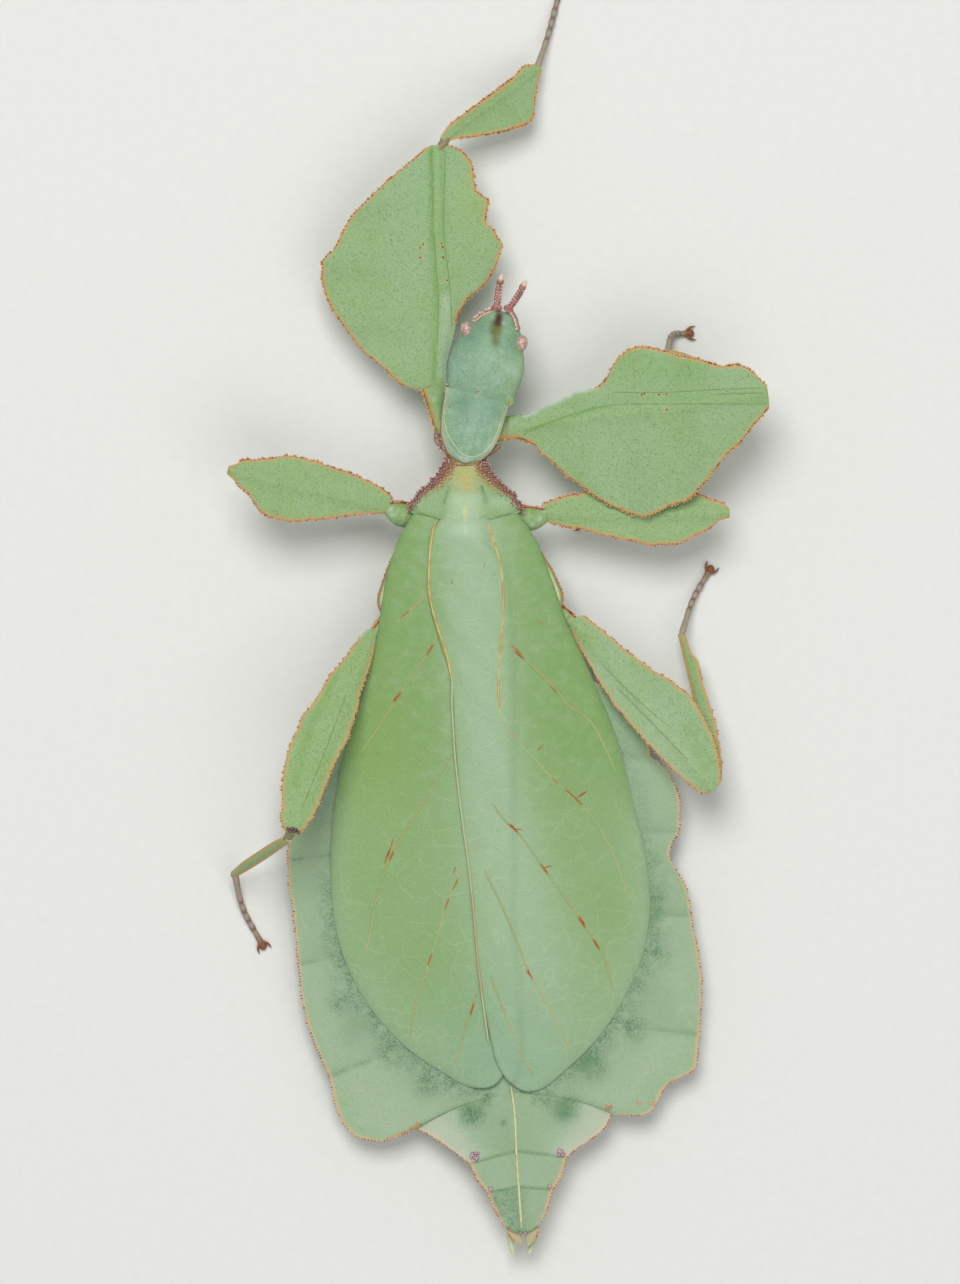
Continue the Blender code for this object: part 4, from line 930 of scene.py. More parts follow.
# %% Cerci and egg valves
CERCI = {"left": (-1, [(1.3, -69.5, 5.0), (2.05, -70.9, 4.85), (2.7, -71.95, 4.7)],
                  [(1.5, -69.6), (2.3, -71.0), (2.75, -72.0)]),
         "right": (1, [(4.15, -69.4, 5.0), (3.75, -70.9, 4.85), (3.35, -72.1, 4.7)],
                   [(4.2, -69.4), (3.65, -70.9), (3.3, -72.1)])}
FLAP_WIDTHS = [(0, 0.55), (0.35, 0.75), (0.65, 0.6), (0.9, 0.28), (1, 0.06)]
for name, (side, path, inner_side) in CERCI.items():
    flap = column(f"cercus_{name}", path, FLAP_WIDTHS, [(0, 0.2), (1, 0.08)], 14, 14)
    from_inside = reach_to(read_points(flap) / MM, even_steps(inner_side, 0.1))
    coat(flap, "lobe_skin", warm=0.5 + 0.45 * ease((from_inside - 0.3) / 0.4))
    flap_edge = even_steps(np.array(path) + [(side * 0.5, 0, 0.1), (side * 0.64, -0.2, 0.1), (0, 0, 0)], 0.2)
    join(flap, [scatter("flap_beads", GRAIN, edge_teeth(flap_edge, side, 0.26, 0.2, 0.11, 0.5), "rim_rose")])
    settle(flap, "lobe_green", f"cercus_{name}")
VALVES = ([(1.9, -67.5, 3.1), (1.35, -70.6, 3.4), (1.75, -73.45, 4.0)],
          [(3.5, -67.5, 3.1), (4.15, -70.7, 3.4), (3.45, -73.15, 4.0)])
valves = [coat(column("valve", path, [(0, 0.5), (0.6, 0.45), (0.9, 0.24), (1, 0.05)],
                      [(0, 0.4), (0.8, 0.24), (1, 0.05)], 10, 14), "line_pale", tip=0.0) for path in VALVES]
settle(join(valves[0], valves[1:]), "lobe_green", "egg_valves")

# %% [markdown]
# ## Thorax
#
# Three plates carry the legs. The hind one lies under the wings and shows only its edges. The
# middle one is a triangle between the wing roots. Its front edges bristle with purple-brown
# grains that have pale points. The front plate is the shield behind the head.


# %% Hind thorax
def belly(top, reach, edge, deep, wide, power=0.8):
    """Lower side of a plate: thin at the edge and full in the middle."""
    return top - edge - deep * np.clip(1 - (reach / wide) ** 2, 0, 1) ** power


META_LEFT = [(-10.2, 9.4), (-11.8, 7.2), (-13.15, 4.1), (-13.75, 1.2), (-13.4, 0.4), (-11.9, 0.1)]
META_RIGHT = [(3.3, 9.4), (5.1, 6.9), (6.7, 4.1), (7.4, 1.9), (7.2, 1.0), (5.9, 0.6)]
run = np.linspace(0, 1, 44)
lefts, rights = through(META_LEFT, run), through(META_RIGHT, run)
x, y, reach = across_rows(lefts, (lefts + rights) / 2, rights, edge_columns(40, 8.0))
top = back_height(x, y)
metathorax = slab("metathorax", placed(x, y, top), placed(x, y, belly(top, reach, 0.35, 3.6, 0.62)),
                  warm=fade((1 - reach) * 9, 0.28), keel=fade((1 - reach) * 9 - 0.5, 0.16), mark=0.15)
coat(metathorax, "thorax_skin")
rim = placed(x, y, top - 0.1)
teeth = edge_teeth(rim[:, 0], -1, 0.34, 0.22, 0.14) + edge_teeth(rim[:, -1], 1, 0.34, 0.22, 0.14)
join(metathorax, [scatter("metathorax_teeth", GRAIN, teeth, "rim_beads")])
settle(metathorax, "body_green", "metathorax")

# %% Middle thorax

MESO_X = -3.78
MESO_HALF = [(10.0, 1.6), (10.3, 2.5), (10.8, 3.4), (11.3, 4.8), (11.7, 6.1), (12.1, 6.5), (12.65, 6.25),
             (13.2, 5.95), (13.8, 5.45), (14.4, 4.8), (14.9, 4.2), (15.5, 3.7), (16.1, 3.1),
             (16.9, 2.55), (17.5, 2.4)]
MESO_TOPS = [(10.0, 10.05), (10.6, 10.33), (11.3, 10.55), (12.1, 10.72), (13.0, 10.8), (15.2, 10.35),
             (16.4, 9.95), (17.5, 9.6)]
meso_y = np.linspace(17.5, 10.0, 60)
meso_half = profile(MESO_HALF, meso_y)
middles = np.column_stack([np.full(60, MESO_X), meso_y])
lefts, rights = middles - (1, 0) * meso_half[:, None], middles + (1, 0) * meso_half[:, None]


def band_width(y):
    """How wide the grainy band is: narrow at the shoulders, wide at the neck."""
    return np.clip(0.55 + 0.32 * (y - 12.0), 0.55, 1.6)


def furrow_out(y):
    """How far from the middle the two furrows run."""
    return 1.75 + 0.28 * (15.2 - y)


def meso_top(x, y, reach):
    """Upper side of the middle thorax: a low roof with a keel and two curved furrows."""
    out = np.abs(x - MESO_X)
    furrow = 0.14 * fade(out - furrow_out(y), 0.2) * ease((15.0 - y) / 0.6)
    furrow = furrow * ease((y - 12.0) / 0.8) - 0.12 * fade(out - 1.65, 0.4, 4) * fade(y - 10.75, 0.5, 4)
    keel = 0.16 * fade(out, 0.2) * ease((12.2 - y) / 1.0)
    rear = (0.3 + 0.4 * ease((y - 11.2) / 0.8)) * ease((reach - 0.78) / 0.22) * ease((12.4 - y) / 0.4)
    return profile(MESO_TOPS, y) - (0.45 + 0.45 * ease((y - 11.2) / 1.2)) * reach ** 2 - furrow + keel - rear


x, y, reach = across_rows(lefts, middles, rights, edge_columns(56, 5.5))
top, out, half = meso_top(x, y, reach), np.abs(x - MESO_X), profile(MESO_HALF, y)
furrows = 0.8 * fade(out - furrow_out(y), 0.16) * ease((15.0 - y) / 0.4) * ease((y - 12.2) / 0.6)
mesothorax = slab(
    "mesothorax", placed(x, y, top), placed(x, y, belly(top, reach, 0.5, 3.9, 0.7)),
    warm=ease((reach * half - half + band_width(y)) / 0.5) * ease((y - 11.8) / 0.8) * 0.9,
    band=fade(out, 0.8 + 0.35 * np.clip(y - 13, 0, 4)) * 0.8 * ease((y - 12.4) / 2.6),
    pale=(0.66 + 0.3 * ease((11.4 - y) / 0.8)) * fade(out, 1.9, 4) * ease((14.6 - y) / 1.6)
    + 0.35 * (x > MESO_X) * blot(x, y, MESO_X + 3.6, 12.9, 1.2, 0.6)
    # The two small pale spots near the back are painted glints.
    + blots(x, y, [(0.6, -5.75, 11.3, 0.2236), (0.6, -2.55, 11.1, 0.2236)]),
    keel=0.8 * fade(out, 0.28) * ease((13.0 - y) / 1.2),
    mark=np.maximum(furrows, 0.75 * fade(out - 1.65, 0.42, 4) * fade(y - 10.75, 0.55, 4)))
coat(mesothorax, "thorax_skin")
print("middle thorax of", len(meso_y), "rows")


# %% [markdown]
# The grains are set in rows that follow the two front edges. The outermost are the longest and
# point outwards. Each row further in is smaller, stands more upright and turns from purple to
# golden.

# %% Grains on the middle thorax
def grain_rows(side, offsets, pitch, size, rise):
    """Grain places in rows beside one front edge, each standing on the plate."""
    shoulder = zip(meso_y[:46:3], meso_half[:46:3])
    edge = even_steps([(MESO_X + side * half * 0.985, y) for y, half in shoulder], 0.1)
    way = np.gradient(edge, axis=0)
    way /= np.linalg.norm(way, axis=1)[:, None]
    inward = np.column_stack([way[:, 1], -way[:, 0]]) * side
    places = []
    for number, offset in enumerate(offsets):
        line = edge + inward * offset
        for at in np.arange(0.5 + 0.5 * (number % 2), len(line) - 1, pitch * 10):
            spot, out = line[int(at)], -inward[int(at)]
            if offset > band_width(spot[1]):
                continue
            spot = spot + np.array([draw.uniform(-0.12, 0.12), draw.uniform(-0.12, 0.12)])
            share = abs(spot[0] - MESO_X) / max(float(profile(MESO_HALF, spot[1])), 0.1)
            height = float(meso_top(spot[0], spot[1], min(share, 1.0)))
            scale = draw.uniform(0.7, 1.25) * size * (1 - 0.1 * number)
            places.append(((*spot, height - 0.08), (out[0], out[1], rise + 0.25 * number),
                           0.5 * scale, 0.19 * scale))
    return places


outer, inner = [], []
for side in (-1, 1):
    outer += grain_rows(side, (0.0, 0.22, 0.44, 0.66, 0.88), 0.3, 0.85, 0.55)
    inner += grain_rows(side, (1.02, 1.18, 1.34, 1.5), 0.28, 0.66, 1.2)
print(len(outer) + len(inner), "grains on the middle thorax")
join(mesothorax, [scatter("outer_grains", THORN, outer, "grain_purple"),
                  scatter("inner_grains", GRAIN, inner, "grain_gold")])
settle(mesothorax, "body_green", "mesothorax")

# %% Front thorax and its shield
PRO_REAR, PRO_FRONT = np.array((-3.95, 17.4)), np.array((-2.34, 25.25))
SHIELD_HALF = [(0, 0.7), (0.03, 1.3), (0.08, 1.9), (0.14, 2.3), (0.25, 2.85), (0.4, 3.25), (0.6, 3.5),
               (0.8, 3.62), (1, 3.7)]
SHIELD_TOPS = [(0, 10.3), (0.3, 11.0), (0.7, 11.1), (1, 10.8)]
run = np.linspace(0, 1, 52)
way = (PRO_FRONT - PRO_REAR) / np.linalg.norm(PRO_FRONT - PRO_REAR)
side_way = np.array((way[1], -way[0]))
middles = PRO_REAR + (PRO_FRONT - PRO_REAR) * run[:, None]
half = profile(SHIELD_HALF, run)[:, None]
lefts, rights = middles - side_way * half, middles + side_way * half
shield_outline = np.concatenate([lefts, rights, even_steps([lefts[0], middles[0], rights[0]], 0.2)])


def shield_share(x, y):
    """How far along the shield a place is, and how far out from its middle."""
    out = np.stack([x, y], -1) - PRO_REAR
    return out @ way / np.linalg.norm(PRO_FRONT - PRO_REAR), out @ side_way


def shield_rim(x, y):
    """Distance from a place to the shield's outline."""
    return reach_to(np.stack([x, y], -1).reshape(-1, 2), shield_outline).reshape(x.shape)


def shield_top(x, y, reach):
    """Upper side of the shield: domed, with a raised rim and two impressed arcs."""
    at, out = shield_share(x, y)
    arc = 0.14 * fade(np.abs(out) - 0.9 - 2.2 * (at - 0.45) ** 2, 0.22) * fade(at - 0.36, 0.16)
    return profile(SHIELD_TOPS, at) - 1.0 * reach ** 2 - arc + 0.14 * fade(shield_rim(x, y), 0.26)


x, y, reach = across_rows(lefts, middles, rights, edge_columns(46, 3.3))
top, rim_gap = shield_top(x, y, reach), shield_rim(x, y)
prothorax = slab(
    "prothorax", placed(x, y, top), placed(x, y, belly(top, reach, 0.4, 3.9, 0.72, 0.7)),
    warm=0.8 * fade(rim_gap, 0.2),
    pale=0.6 * fade(rim_gap - 0.5, 0.3) * ease((20.5 - y) / 1.5)
    # The two small pale spots near the rear of the shield are painted glints.
    + 0.5 * fade(np.abs(x + 3.85) - 0.35, 0.2) * fade(y - 19.0, 0.2),
    deep=blots(x, y, [(0.6, -4.0, 24.1, 1.4832), (0.3, -0.2, 23.5, 1.2649), (0.7, -4.0, 17.8, 0.2449)]),
    band=ease((reach - 0.5) / 0.4) * 0.4)
coat(prothorax, "waxy_skin")

# %% Grains, neck and lips of the shield
collar = [((MESO_X + (2.25 + draw.uniform(-0.15, 0.2)) * math.sin(a), 17.55 + draw.uniform(-0.5, 0.4),
            8.5 + 1.0 * math.cos(a)), (math.sin(a), draw.uniform(-0.5, 0.3), math.cos(a)),
           draw.uniform(0.2, 0.45), draw.uniform(0.12, 0.2)) for a in np.linspace(-1.7, 1.7, 46)
          if abs(a) > 0.75]
FLANGES = [
    ([(-6.95, 20.6, 8.5), (-6.75, 19.5, 8.6), (-6.3, 18.7, 8.7), (-5.7, 17.8, 8.8)], 0.26, 0.42, 0.2, 0.7),
    ([(-6.5, 20.3, 8.8), (-6.35, 19.5, 8.9), (-5.95, 18.8, 9.0)], 0.3, 0.34, 0.2, 1.0),
    ([(0.25, 19.25, 8.95), (-0.5, 18.6, 9.0), (-1.7, 17.95, 9.1)], 0.34, 0.3, 0.16, 0.4)]
for edge, *size in FLANGES:
    collar += edge_teeth(edge, -1, *size)
shield_grains = scatter("shield_grains", GRAIN, collar, "grain_purple")
PADS = [
    ("neck_rear", [(-3.95, 18.6, 8.6), (-3.85, 17.2, 8.3), (-3.8, 15.9, 8.2)],
     [(0, 1.9), (0.5, 2.3), (1, 2.0)], [(0, 1.1), (0.5, 1.3), (1, 1.1)], 20, 9, 0.85),
    ("shield_sides", [(-4.9, 17.9, 8.4), (-4.3, 20.0, 8.6), (-3.3, 23.6, 8.5)],
     [(0, 1.5), (0.35, 2.5), (0.8, 2.9), (1, 2.7)], [(0, 0.8), (0.5, 1.2), (1, 1.1)], 22, 12, 0.6),
    ("rear_lip", [(-2.2, 18.0, 8.8), (-0.9, 18.75, 8.95), (0.35, 19.55, 8.9)],
     [(0, 0.3), (0.5, 0.42), (1, 0.12)], [(0, 0.25), (0.5, 0.3), (1, 0.1)], 12, 10, 0.65),
    ("left_lip", [(-7.0, 21.5, 8.2), (-6.95, 20.2, 8.4), (-6.2, 18.8, 8.6)],
     [(0, 0.15), (0.5, 0.45), (1, 0.2)], [(0, 0.15), (0.5, 0.3), (1, 0.1)], 12, 10, 0.9)]
pads = [coat(column(name, *shape), "thorax_skin", warm=warm) for name, *shape, warm in PADS]
flat = even_steps([(-6.15, 22.46), (-5.97, 21.2), (-5.45, 20.04), (-4.72, 19.0), (-3.98, 18.31),
                   (-2.94, 18.02), (-1.85, 18.42), (-0.9, 19.31), (-0.2, 20.67), (0.35, 22.24)], 0.2)
at, out = shield_share(*flat.T)
share = np.minimum(np.abs(out) / profile(SHIELD_HALF, at), 1.0)
arcs = cords("shield_line", [placed(*flat.T, shield_top(*flat.T, share) - 0.02)], 0.07, "line_pale")
red_line = cords("neck_line", [even_steps([(-5.4, 17.2, 9.25), (-4.7, 17.1, 9.6), (-3.85, 17.05, 9.75),
                                           (-3.0, 17.1, 9.6), (-2.3, 17.2, 9.25)], 0.2)], 0.09, "rim_pink")
join(prothorax, [shield_grains, *pads, arcs, red_line])
settle(prothorax, "head_green", "prothorax")

# %% [markdown]
# ## Head
#
# The head is a waxy dome, a little longer than wide, with a net-like eye at each corner. A row of
# small grains runs from each eye to the root of the feeler beside it. Between the feelers the
# brow is grooved and stained olive. It is a column along the head's length, whose rings give the
# narrow front.

# %% Head dome
HEAD_HALF = [(0, 3.4), (0.02, 3.66), (0.06, 3.82), (0.14, 4.05), (0.26, 4.3), (0.39, 4.38), (0.52, 4.1),
             (0.63, 3.68), (0.76, 3.2), (0.88, 2.5), (0.96, 1.75), (1, 1.0)]
HEAD_TALL = [(0, 1.6), (0.025, 1.8), (0.12, 2.2), (0.4, 2.55), (0.7, 2.15), (0.9, 1.35), (0.97, 0.95),
             (1, 0.5)]
head = column("head", [(-2.28, 24.75, 9.0), (-1.05, 29.85, 9.1), (0.1, 34.75, 8.8)], HEAD_HALF, HEAD_TALL,
              36, 40)


def near_line(spots, line, wide, power=2):
    """1 on a line, and fading out beside it."""
    return fade(reach_to(spots, even_steps(line, 0.1)), wide, power)


spots = read_points(head) / MM
over = ease((spots[:, 2] - 9.2) / 1.0)
spots[:, 2] -= 0.22 * near_line(spots, [(0.45, 35.2), (-0.1, 33.0), (-0.35, 31.2)], 0.35, 1) * over
move_points(head, spots)
olive = np.maximum(near_line(spots, [(-0.25, 32.9), (-0.35, 32.3)], 0.78, 4),
                   0.92 * near_line(spots, [(-0.35, 31.9), (-0.3, 31.0)], 0.5))
coat(head, "waxy_skin", mark=0.0, warm=0.0, olive=olive * over * 0.9,
     stain=near_line(spots, [(0.35, 35.1), (0.1, 34.2), (-0.05, 33.3)], 0.48, 3) * over,
     deep=0.6 * fade(reach_to(spots, [(-2.1, 32.8), (-3.0, 31.6)]), 1.2)
     + 0.4 * fade(reach_to(spots, [(1.3, 30.9)]), 1.5),
     band=0.8 * ease((spots[:, 0] - (-1.0 + 0.22 * (spots[:, 1] - 30)) - 1.8) / 2.2),
     pale=0.35 * fade(reach_to(spots, [(1.9, 27.8)]), 1.1)
     # The two small pale spots on top of the head are painted glints.
     + 0.7 * fade(reach_to(spots, [(0.6, 33.2), (0.5, 29.9)]), 0.2) * over)
print("head dome of", len(spots), "points")

# %% Brow grains and neck
BROWS = ([(-2.95, 33.4, 10.1), (-2.2, 34.1, 10.0), (-1.35, 34.6, 9.7), (-0.65, 34.85, 9.5)],
         [(1.35, 34.75, 9.5), (1.85, 34.0, 9.9), (2.25, 32.6, 10.2)])
grains, creams = [], []
for brow, side, shift in zip(BROWS, (1, -1), ((0.12, -0.16, 0.12), (-0.14, -0.1, 0.12))):
    grains += edge_teeth(even_steps(brow, 0.2), side, 0.38, 0.46, 0.27, 0.6)
    creams.append(even_steps(np.array(brow) + shift, 0.2))
brow_grains = scatter("brow_grains", GRAIN, grains, "brow_grain")
cream_brow = cords("cream_brow", creams, 0.1, "rim_rose", 0.85)
front_neck = column("neck_front", [(-2.5, 24.0, 9.0), (-2.3, 24.9, 9.0), (-2.05, 26.0, 8.9)],
                    [(0, 3.3), (1, 3.4)], [(0, 1.5), (1, 1.6)], 28, 6)
coat(front_neck, "thorax_skin", mark=0.6)
neck_beads = scatter("neck_beads", GRAIN, [((-2.34, 25.55, 10.92), (0, 0, 1), 0.3, 0.2),
                                           ((-5.75, 26.3, 9.3), (-0.4, 0, 1), 0.4, 0.24),
                                           ((1.25, 24.35, 10.4), (0.3, 0, 1), 0.26, 0.18)], "rim_pink")
knob = column("neck_knob", [(1.1, 25.0, 9.75), (1.25, 24.35, 9.95), (1.15, 23.7, 9.75)],
              [(0, 0.2), (0.3, 0.58), (0.7, 0.58), (1, 0.2)], [(0, 0.2), (0.5, 0.55), (1, 0.15)], 14, 9)
coat(knob, "waxy_skin", band=0.9)
join(head, [brow_grains, cream_brow, front_neck, neck_beads, knob])
settle(head, "head_green", "head")

# %% [markdown]
# An insect's eye is a ball of small lenses. The ball is an icosphere whose faces are each inset
# and pushed out a little, so the net between the lenses is real geometry. The finish is beige
# and pink, with brown in the net, an orange lower rim and a wet gloss.

# %% Eyes
eye_finish, tree, shader = new_material("eye_finish", 0.22, 0.6)
cloud = between(tree, clouds(tree, millimetres(tree), 2.6, 2), 0.4, 0.6)
tone = mix_colours(tree, cloud, (236, 220, 210), (202, 162, 148))
tone = mix_colours(tree, kept_number(tree, "lens"), (158, 108, 92), tone)
tone = mix_colours(tree, kept_number(tree, "low"), tone, (204, 120, 62))
feed(tree, shader.inputs["Base Color"], tone)
shader.inputs["Coat Weight"].default_value = 0.5
for name, centre, turn in (("eye_left", (-3.6, 32.5, 9.75), 0.3), ("eye_right", (2.6, 30.95, 9.75), -0.2)):
    eye = primitive(bpy.ops.mesh.primitive_ico_sphere_add, name, subdivisions=3, radius=1)
    bpy.ops.object.mode_set(mode="EDIT")
    bpy.ops.mesh.select_all(action="SELECT")
    bpy.ops.mesh.inset(thickness=0.055, depth=0.035, use_individual=True)
    bpy.ops.object.mode_set(mode="OBJECT")
    spots = read_points(eye)
    coat(eye, "eye_finish", lens=ease((np.linalg.norm(spots, axis=1) - 1.0) / 0.022),
         low=ease((-spots[:, 2] + 0.05) / 0.5) * 0.8)
    wide, tall, high = (spots * (0.72, 0.95, 0.82)).T
    cos, sin = math.cos(turn), math.sin(turn)
    move_points(eye, placed(wide * cos - tall * sin, wide * sin + tall * cos, high) + np.array(centre))
    bpy.ops.object.shade_smooth()
    settle(eye, "eye_pink", name)

# %% [markdown]
# The feelers of a female are short strings of beads, with a stout base and a long pointed end
# bead. Whitish grains stand on every bead.

# %% Feelers
FEELERS = {"left": (-1, (-0.2, 34.7, 9.25), (0.4, 38.9, 10.6)),
           "right": (1, (0.98, 34.6, 9.25), (3.2, 38.15, 10.5))}
for side, (sign, *ends) in FEELERS.items():
    root, tip = np.array(ends)
    path = [root, (root + tip) / 2 + (sign * 0.12, 0, 0.12), tip]
    radii = [(0, 0.5), (0.04, 0.62), (0.11, 0.6), (0.155, 0.38)]
    for bead in range(6):
        start = 0.18 + 0.083 * bead
        radii += [(start, 0.33), (start + 0.042, draw.uniform(0.38, 0.44))]
    radii += [(0.68, 0.31), (0.76, 0.42), (0.86, 0.37), (0.94, 0.2), (1, 0.04)]
    feeler = column(f"antenna_{side}", path, radii, radii, 12, 66)
    coat(feeler, "feeler_skin", tip=ease((read_note(feeler, "along") - 0.7) / 0.2))
    beads = []
    for bead in range(6):
        centre = through(path, 0.222 + 0.083 * bead)[0]
        for turn in np.arange(6) * 1.05 + bead:
            lean = np.array((math.cos(turn), math.sin(turn) * 0.4, math.sin(turn)))
            beads.append((centre + lean * 0.33, lean, 0.18, 0.11))
    join(feeler, [scatter("feeler_grains", GRAIN, beads, "feeler_grit")])
    settle(feeler, "horn_brown", f"antenna_{side}")

# %% Mouthparts
PALP_RADII = [(0, 0.24), (0.3, 0.3), (0.4, 0.2), (0.7, 0.3), (0.9, 0.26), (1, 0.08)]
root = np.array((-0.75, 32.2, 6.9))
mouth = column("mouthparts", [root, root + (0.2, 0.7, -0.9), root + (0.35, 1.2, -2.0)],
               [(0, 1.1), (0.5, 1.25), (0.9, 0.9), (1, 0.3)], [(0, 0.8), (0.6, 0.85), (1, 0.3)], 18, 12)
palps = []
for side in (-1, 1):
    for out, back, length in ((0.75, 0.25, 2.0), (0.5, 0.85, 1.5)):
        start = root + (side * out, -back * 0.6, -0.4)
        path = [start, start + (side * 0.75, 0.1, -length * 0.45), start + (side * 0.55, 0.3, -length)]
        palps.append(column("palp", path, PALP_RADII, PALP_RADII, 8, 12))
join(mouth, palps)
coat(mouth, "thorax_skin", mark=0.2)
settle(mouth, "body_green", "mouthparts")

# %% [markdown]
# ## Wings
#
# The two leathery wings together draw a leaf: a pale midrib in the middle and side veins that
# run out to the margin. Rows of the sheet fan out from the inner to the outer edge as the side
# veins do. The outer edge sinks onto the abdomen, and the right wing rises a little where it
# lies over the left one.


# %% Wing sheets
def inner_edge_x(y):
    """How far right the left wing reaches over the midline."""
    return profile([(p[1], p[0]) for p in LEFT_INNER[:2:-1]], y)


def wing_floor(x, y, lies_over, outer_gap):
    """Height of a wing's lower side."""
    height = back_height(x, y) - 0.04 + 0.48 * (1 - np.exp(-outer_gap / 1.2)) + 0.12 * ease((-y - 47) / 4)
    if lies_over:
        height = height + 0.42 * ease((inner_edge_x(y) + 2.6 - x) / 1.6)
    return height - 0.27 * ease((y - 8.9) / 1.7)


WING_THICK = 0.3
wings = {}
for name, outer, inner, lies_over in (("wing_left", LEFT_OUTER, LEFT_INNER, False),
                                      ("wing_right", RIGHT_OUTER, RIGHT_INNER, True)):
    run = np.linspace(0, 1, 236)
    start, end = through(inner, profile(FAN_INNER, run)), through(outer, profile(FAN_OUTER, run))
    part = (edge_columns(74, 9.0) + 1) / 2
    flat = start[:, None, :] + (end - start)[:, None, :] * part[None, :, None]
    x, y = flat[..., 0], flat[..., 1]
    wide = np.linalg.norm(end - start, axis=1)[:, None]
    outer_gap, inner_gap = (1 - part)[None, :] * wide, part[None, :] * wide
    thick = 0.06 + (WING_THICK - 0.06) * (1 - fade(np.minimum(outer_gap, inner_gap), 0.15, 1))
    ripple = 0.05 * np.sin(run[:, None] * 58) * ease(outer_gap / 3) * ease(inner_gap / 3)
    low = wing_floor(x, y, lies_over, outer_gap)
    behind = ease((-y - 15) / 28)
    middle = fade(x - axis_x(y) - 0.6 - 2.2 * behind, 4.7 + 2.2 * behind, 2.6)
    margin = fade(outer_gap, 4.0) * ease((-y - 17) / 9)
    light = np.maximum(middle * 0.85, fade(outer_gap, 0.22) * 0.9) * (1 - 0.3 * ease((-y - 28) / 22))
    green = (1 - middle) * np.maximum(ease((y + 34) / 22), 0.5 * ease((y + 51) / 8)) * (1 - 0.85 * margin)
    wings[name] = slab(
        name, placed(x, y, low + thick + ripple), placed(x, y, low + ripple),
        band=np.maximum(light, margin * 0.4), warm=0.0,
        mark=np.maximum(green, 0.9 * fade(x - 2.0, 0.2) * fade(y - 3.4, 1.9, 4)),
        pale=0.55 * fade(outer_gap, 0.3) * ease((-y - 4) / 14) + 0.55 * blot(x, y, -3.8, 9.9, 1.7, 1.0),
        cool=0.26 * blot(x, y, 0.5, -51, 8, 9), spring=0.24 * blot(x, y, -13.8, -19, 5, 14))
    coat(wings[name], "wing_skin")
print(len(wings), "wing sheets")

# %% [markdown]
# The veins follow lines measured on the wings. A line is laid on the wing and raised by a hair.
# Where a vein is rusty, the number kept on its points rises to one, and the finish reads it.

# %% Veins
RIGHT_VEIN = [(-1.25, 10.6), (-0.74, 9.07), (-0.3, 7.7), (0.07, 6.44), (0.35, 4.9), (0.5, 3.37), (0.58, 2.0),
              (0.47, -0.53), (0.22, -3.9), (0.05, -6.4), (0.05, -9.7), (0.22, -11.4)]
RIGHT_BRANCHES = [
    [(0.22, -11.4), (0.72, -12.4), (1.9, -13.9), (2.9, -15.1), (3.9, -16.1), (5.7, -18.1), (8.9, -20.95),
     (10.2, -22.3), (12.9, -26.7), (15.0, -32.5)],
    [(1.2, -3.0), (1.7, -3.9), (2.5, -4.6), (3.9, -5.75), (5.9, -7.75), (7.1, -9.1), (8.2, -10.4),
     (8.9, -10.75), (10.2, -11.75), (12.3, -15.3), (13.8, -19.0)],
    [(-0.6, -21.5), (0.7, -23.3), (1.9, -24.4), (5.3, -29.0), (9.3, -34.7), (12.1, -39.2), (13.2, -43.0)],
    [(-1.6, -29.0), (0.6, -33.5), (3.6, -40.9), (6.4, -46.0), (8.4, -50.0)],
    [(-0.9, -41.0), (0.8, -45.5), (2.8, -50.2), (4.0, -52.6)],
]
LEFT_BRANCHES = [
    [(-6.9, -2.2), (-7.8, -3.9), (-8.9, -5.6), (-11.2, -8.8), (-13.5, -12.4), (-15.8, -15.8)],
    [(-5.3, -15.8), (-6.7, -18.1), (-8.4, -21.0), (-11.2, -25.5), (-12.9, -29.0), (-14.0, -32.7),
     (-15.2, -39.2)],
    [(-3.9, -28.6), (-5.9, -32.9), (-6.9, -36.4), (-8.2, -40.4), (-9.6, -45.0), (-10.2, -48.6)],
    [(-2.4, -42.8), (-3.0, -44.9), (-4.1, -48.3), (-4.8, -51.6)],
    [(-7.7, 3.0), (-8.9, 1.6), (-10.8, 0.0), (-12.6, -2.0)],
]
RIGHT_RIDGE = [(-6.95, 10.85), (-7.35, 9.95), (-7.65, 8.4), (-7.8, 7.0), (-7.9, 5.0), (-7.9, 3.1),
               (-7.65, 1.3), (-7.05, -0.87), (-6.4, -2.87), (-5.8, -4.72), (-5.55, -6.05), (-5.3, -7.4),
               (-5.3, -9.7), (-5.13, -13.1), (-4.97, -15.6), (-4.4, -21.0), (-3.2, -30.1), (-2.1, -41.5),
               (-1.1, -48.9)]
RUST = [(-9.9, 1.8), (-10.7, 0.1), (-7.8, -3.9), (-11.6, -9.2), (-12.6, -27.2), (-5.0, -30.5), (-5.9, -32.9),
        (-7.8, -39.2), (-3.0, -44.9), (2.5, -4.4), (5.3, -8.4), (6.8, -18.4), (9.1, -21.0),
        (1.7, -24.2), (5.3, -28.8), (9.6, -35.0), (11.2, -37.5), (3.6, -40.9), (8.2, -20.2)]


def on_wing(lines, lies_over, sink, step=0.35):
    """Lines laid on a wing, sunk into it by a little."""
    flats = [even_steps(line, step) for line in lines]
    return [placed(*flat.T, wing_floor(*flat.T, lies_over, reach_to(flat, wing_edges)) + WING_THICK - sink)
            for flat in flats]


def rusty(spots):
    """The kept number near the rusty places."""
    return fade(reach_to(spots, RUST), 0.95, 4)


right_main = cords("right_main", on_wing([RIGHT_VEIN], True, 0.02), 0.125, "vein_gold", rusty)
left_branches = cords("left_branches", on_wing(LEFT_BRANCHES, False, 0.0), 0.1, "vein_pale", rusty)
right_branches = cords("right_branches", on_wing(RIGHT_BRANCHES, True, 0.0), 0.1, "vein_pale", rusty)

# %% [markdown]
# The inner edge of the right wing is a raised ridge. It is golden in front, where it is a strong
# vein, and turns whitish behind, with golden specks. At the very tip it fades out.

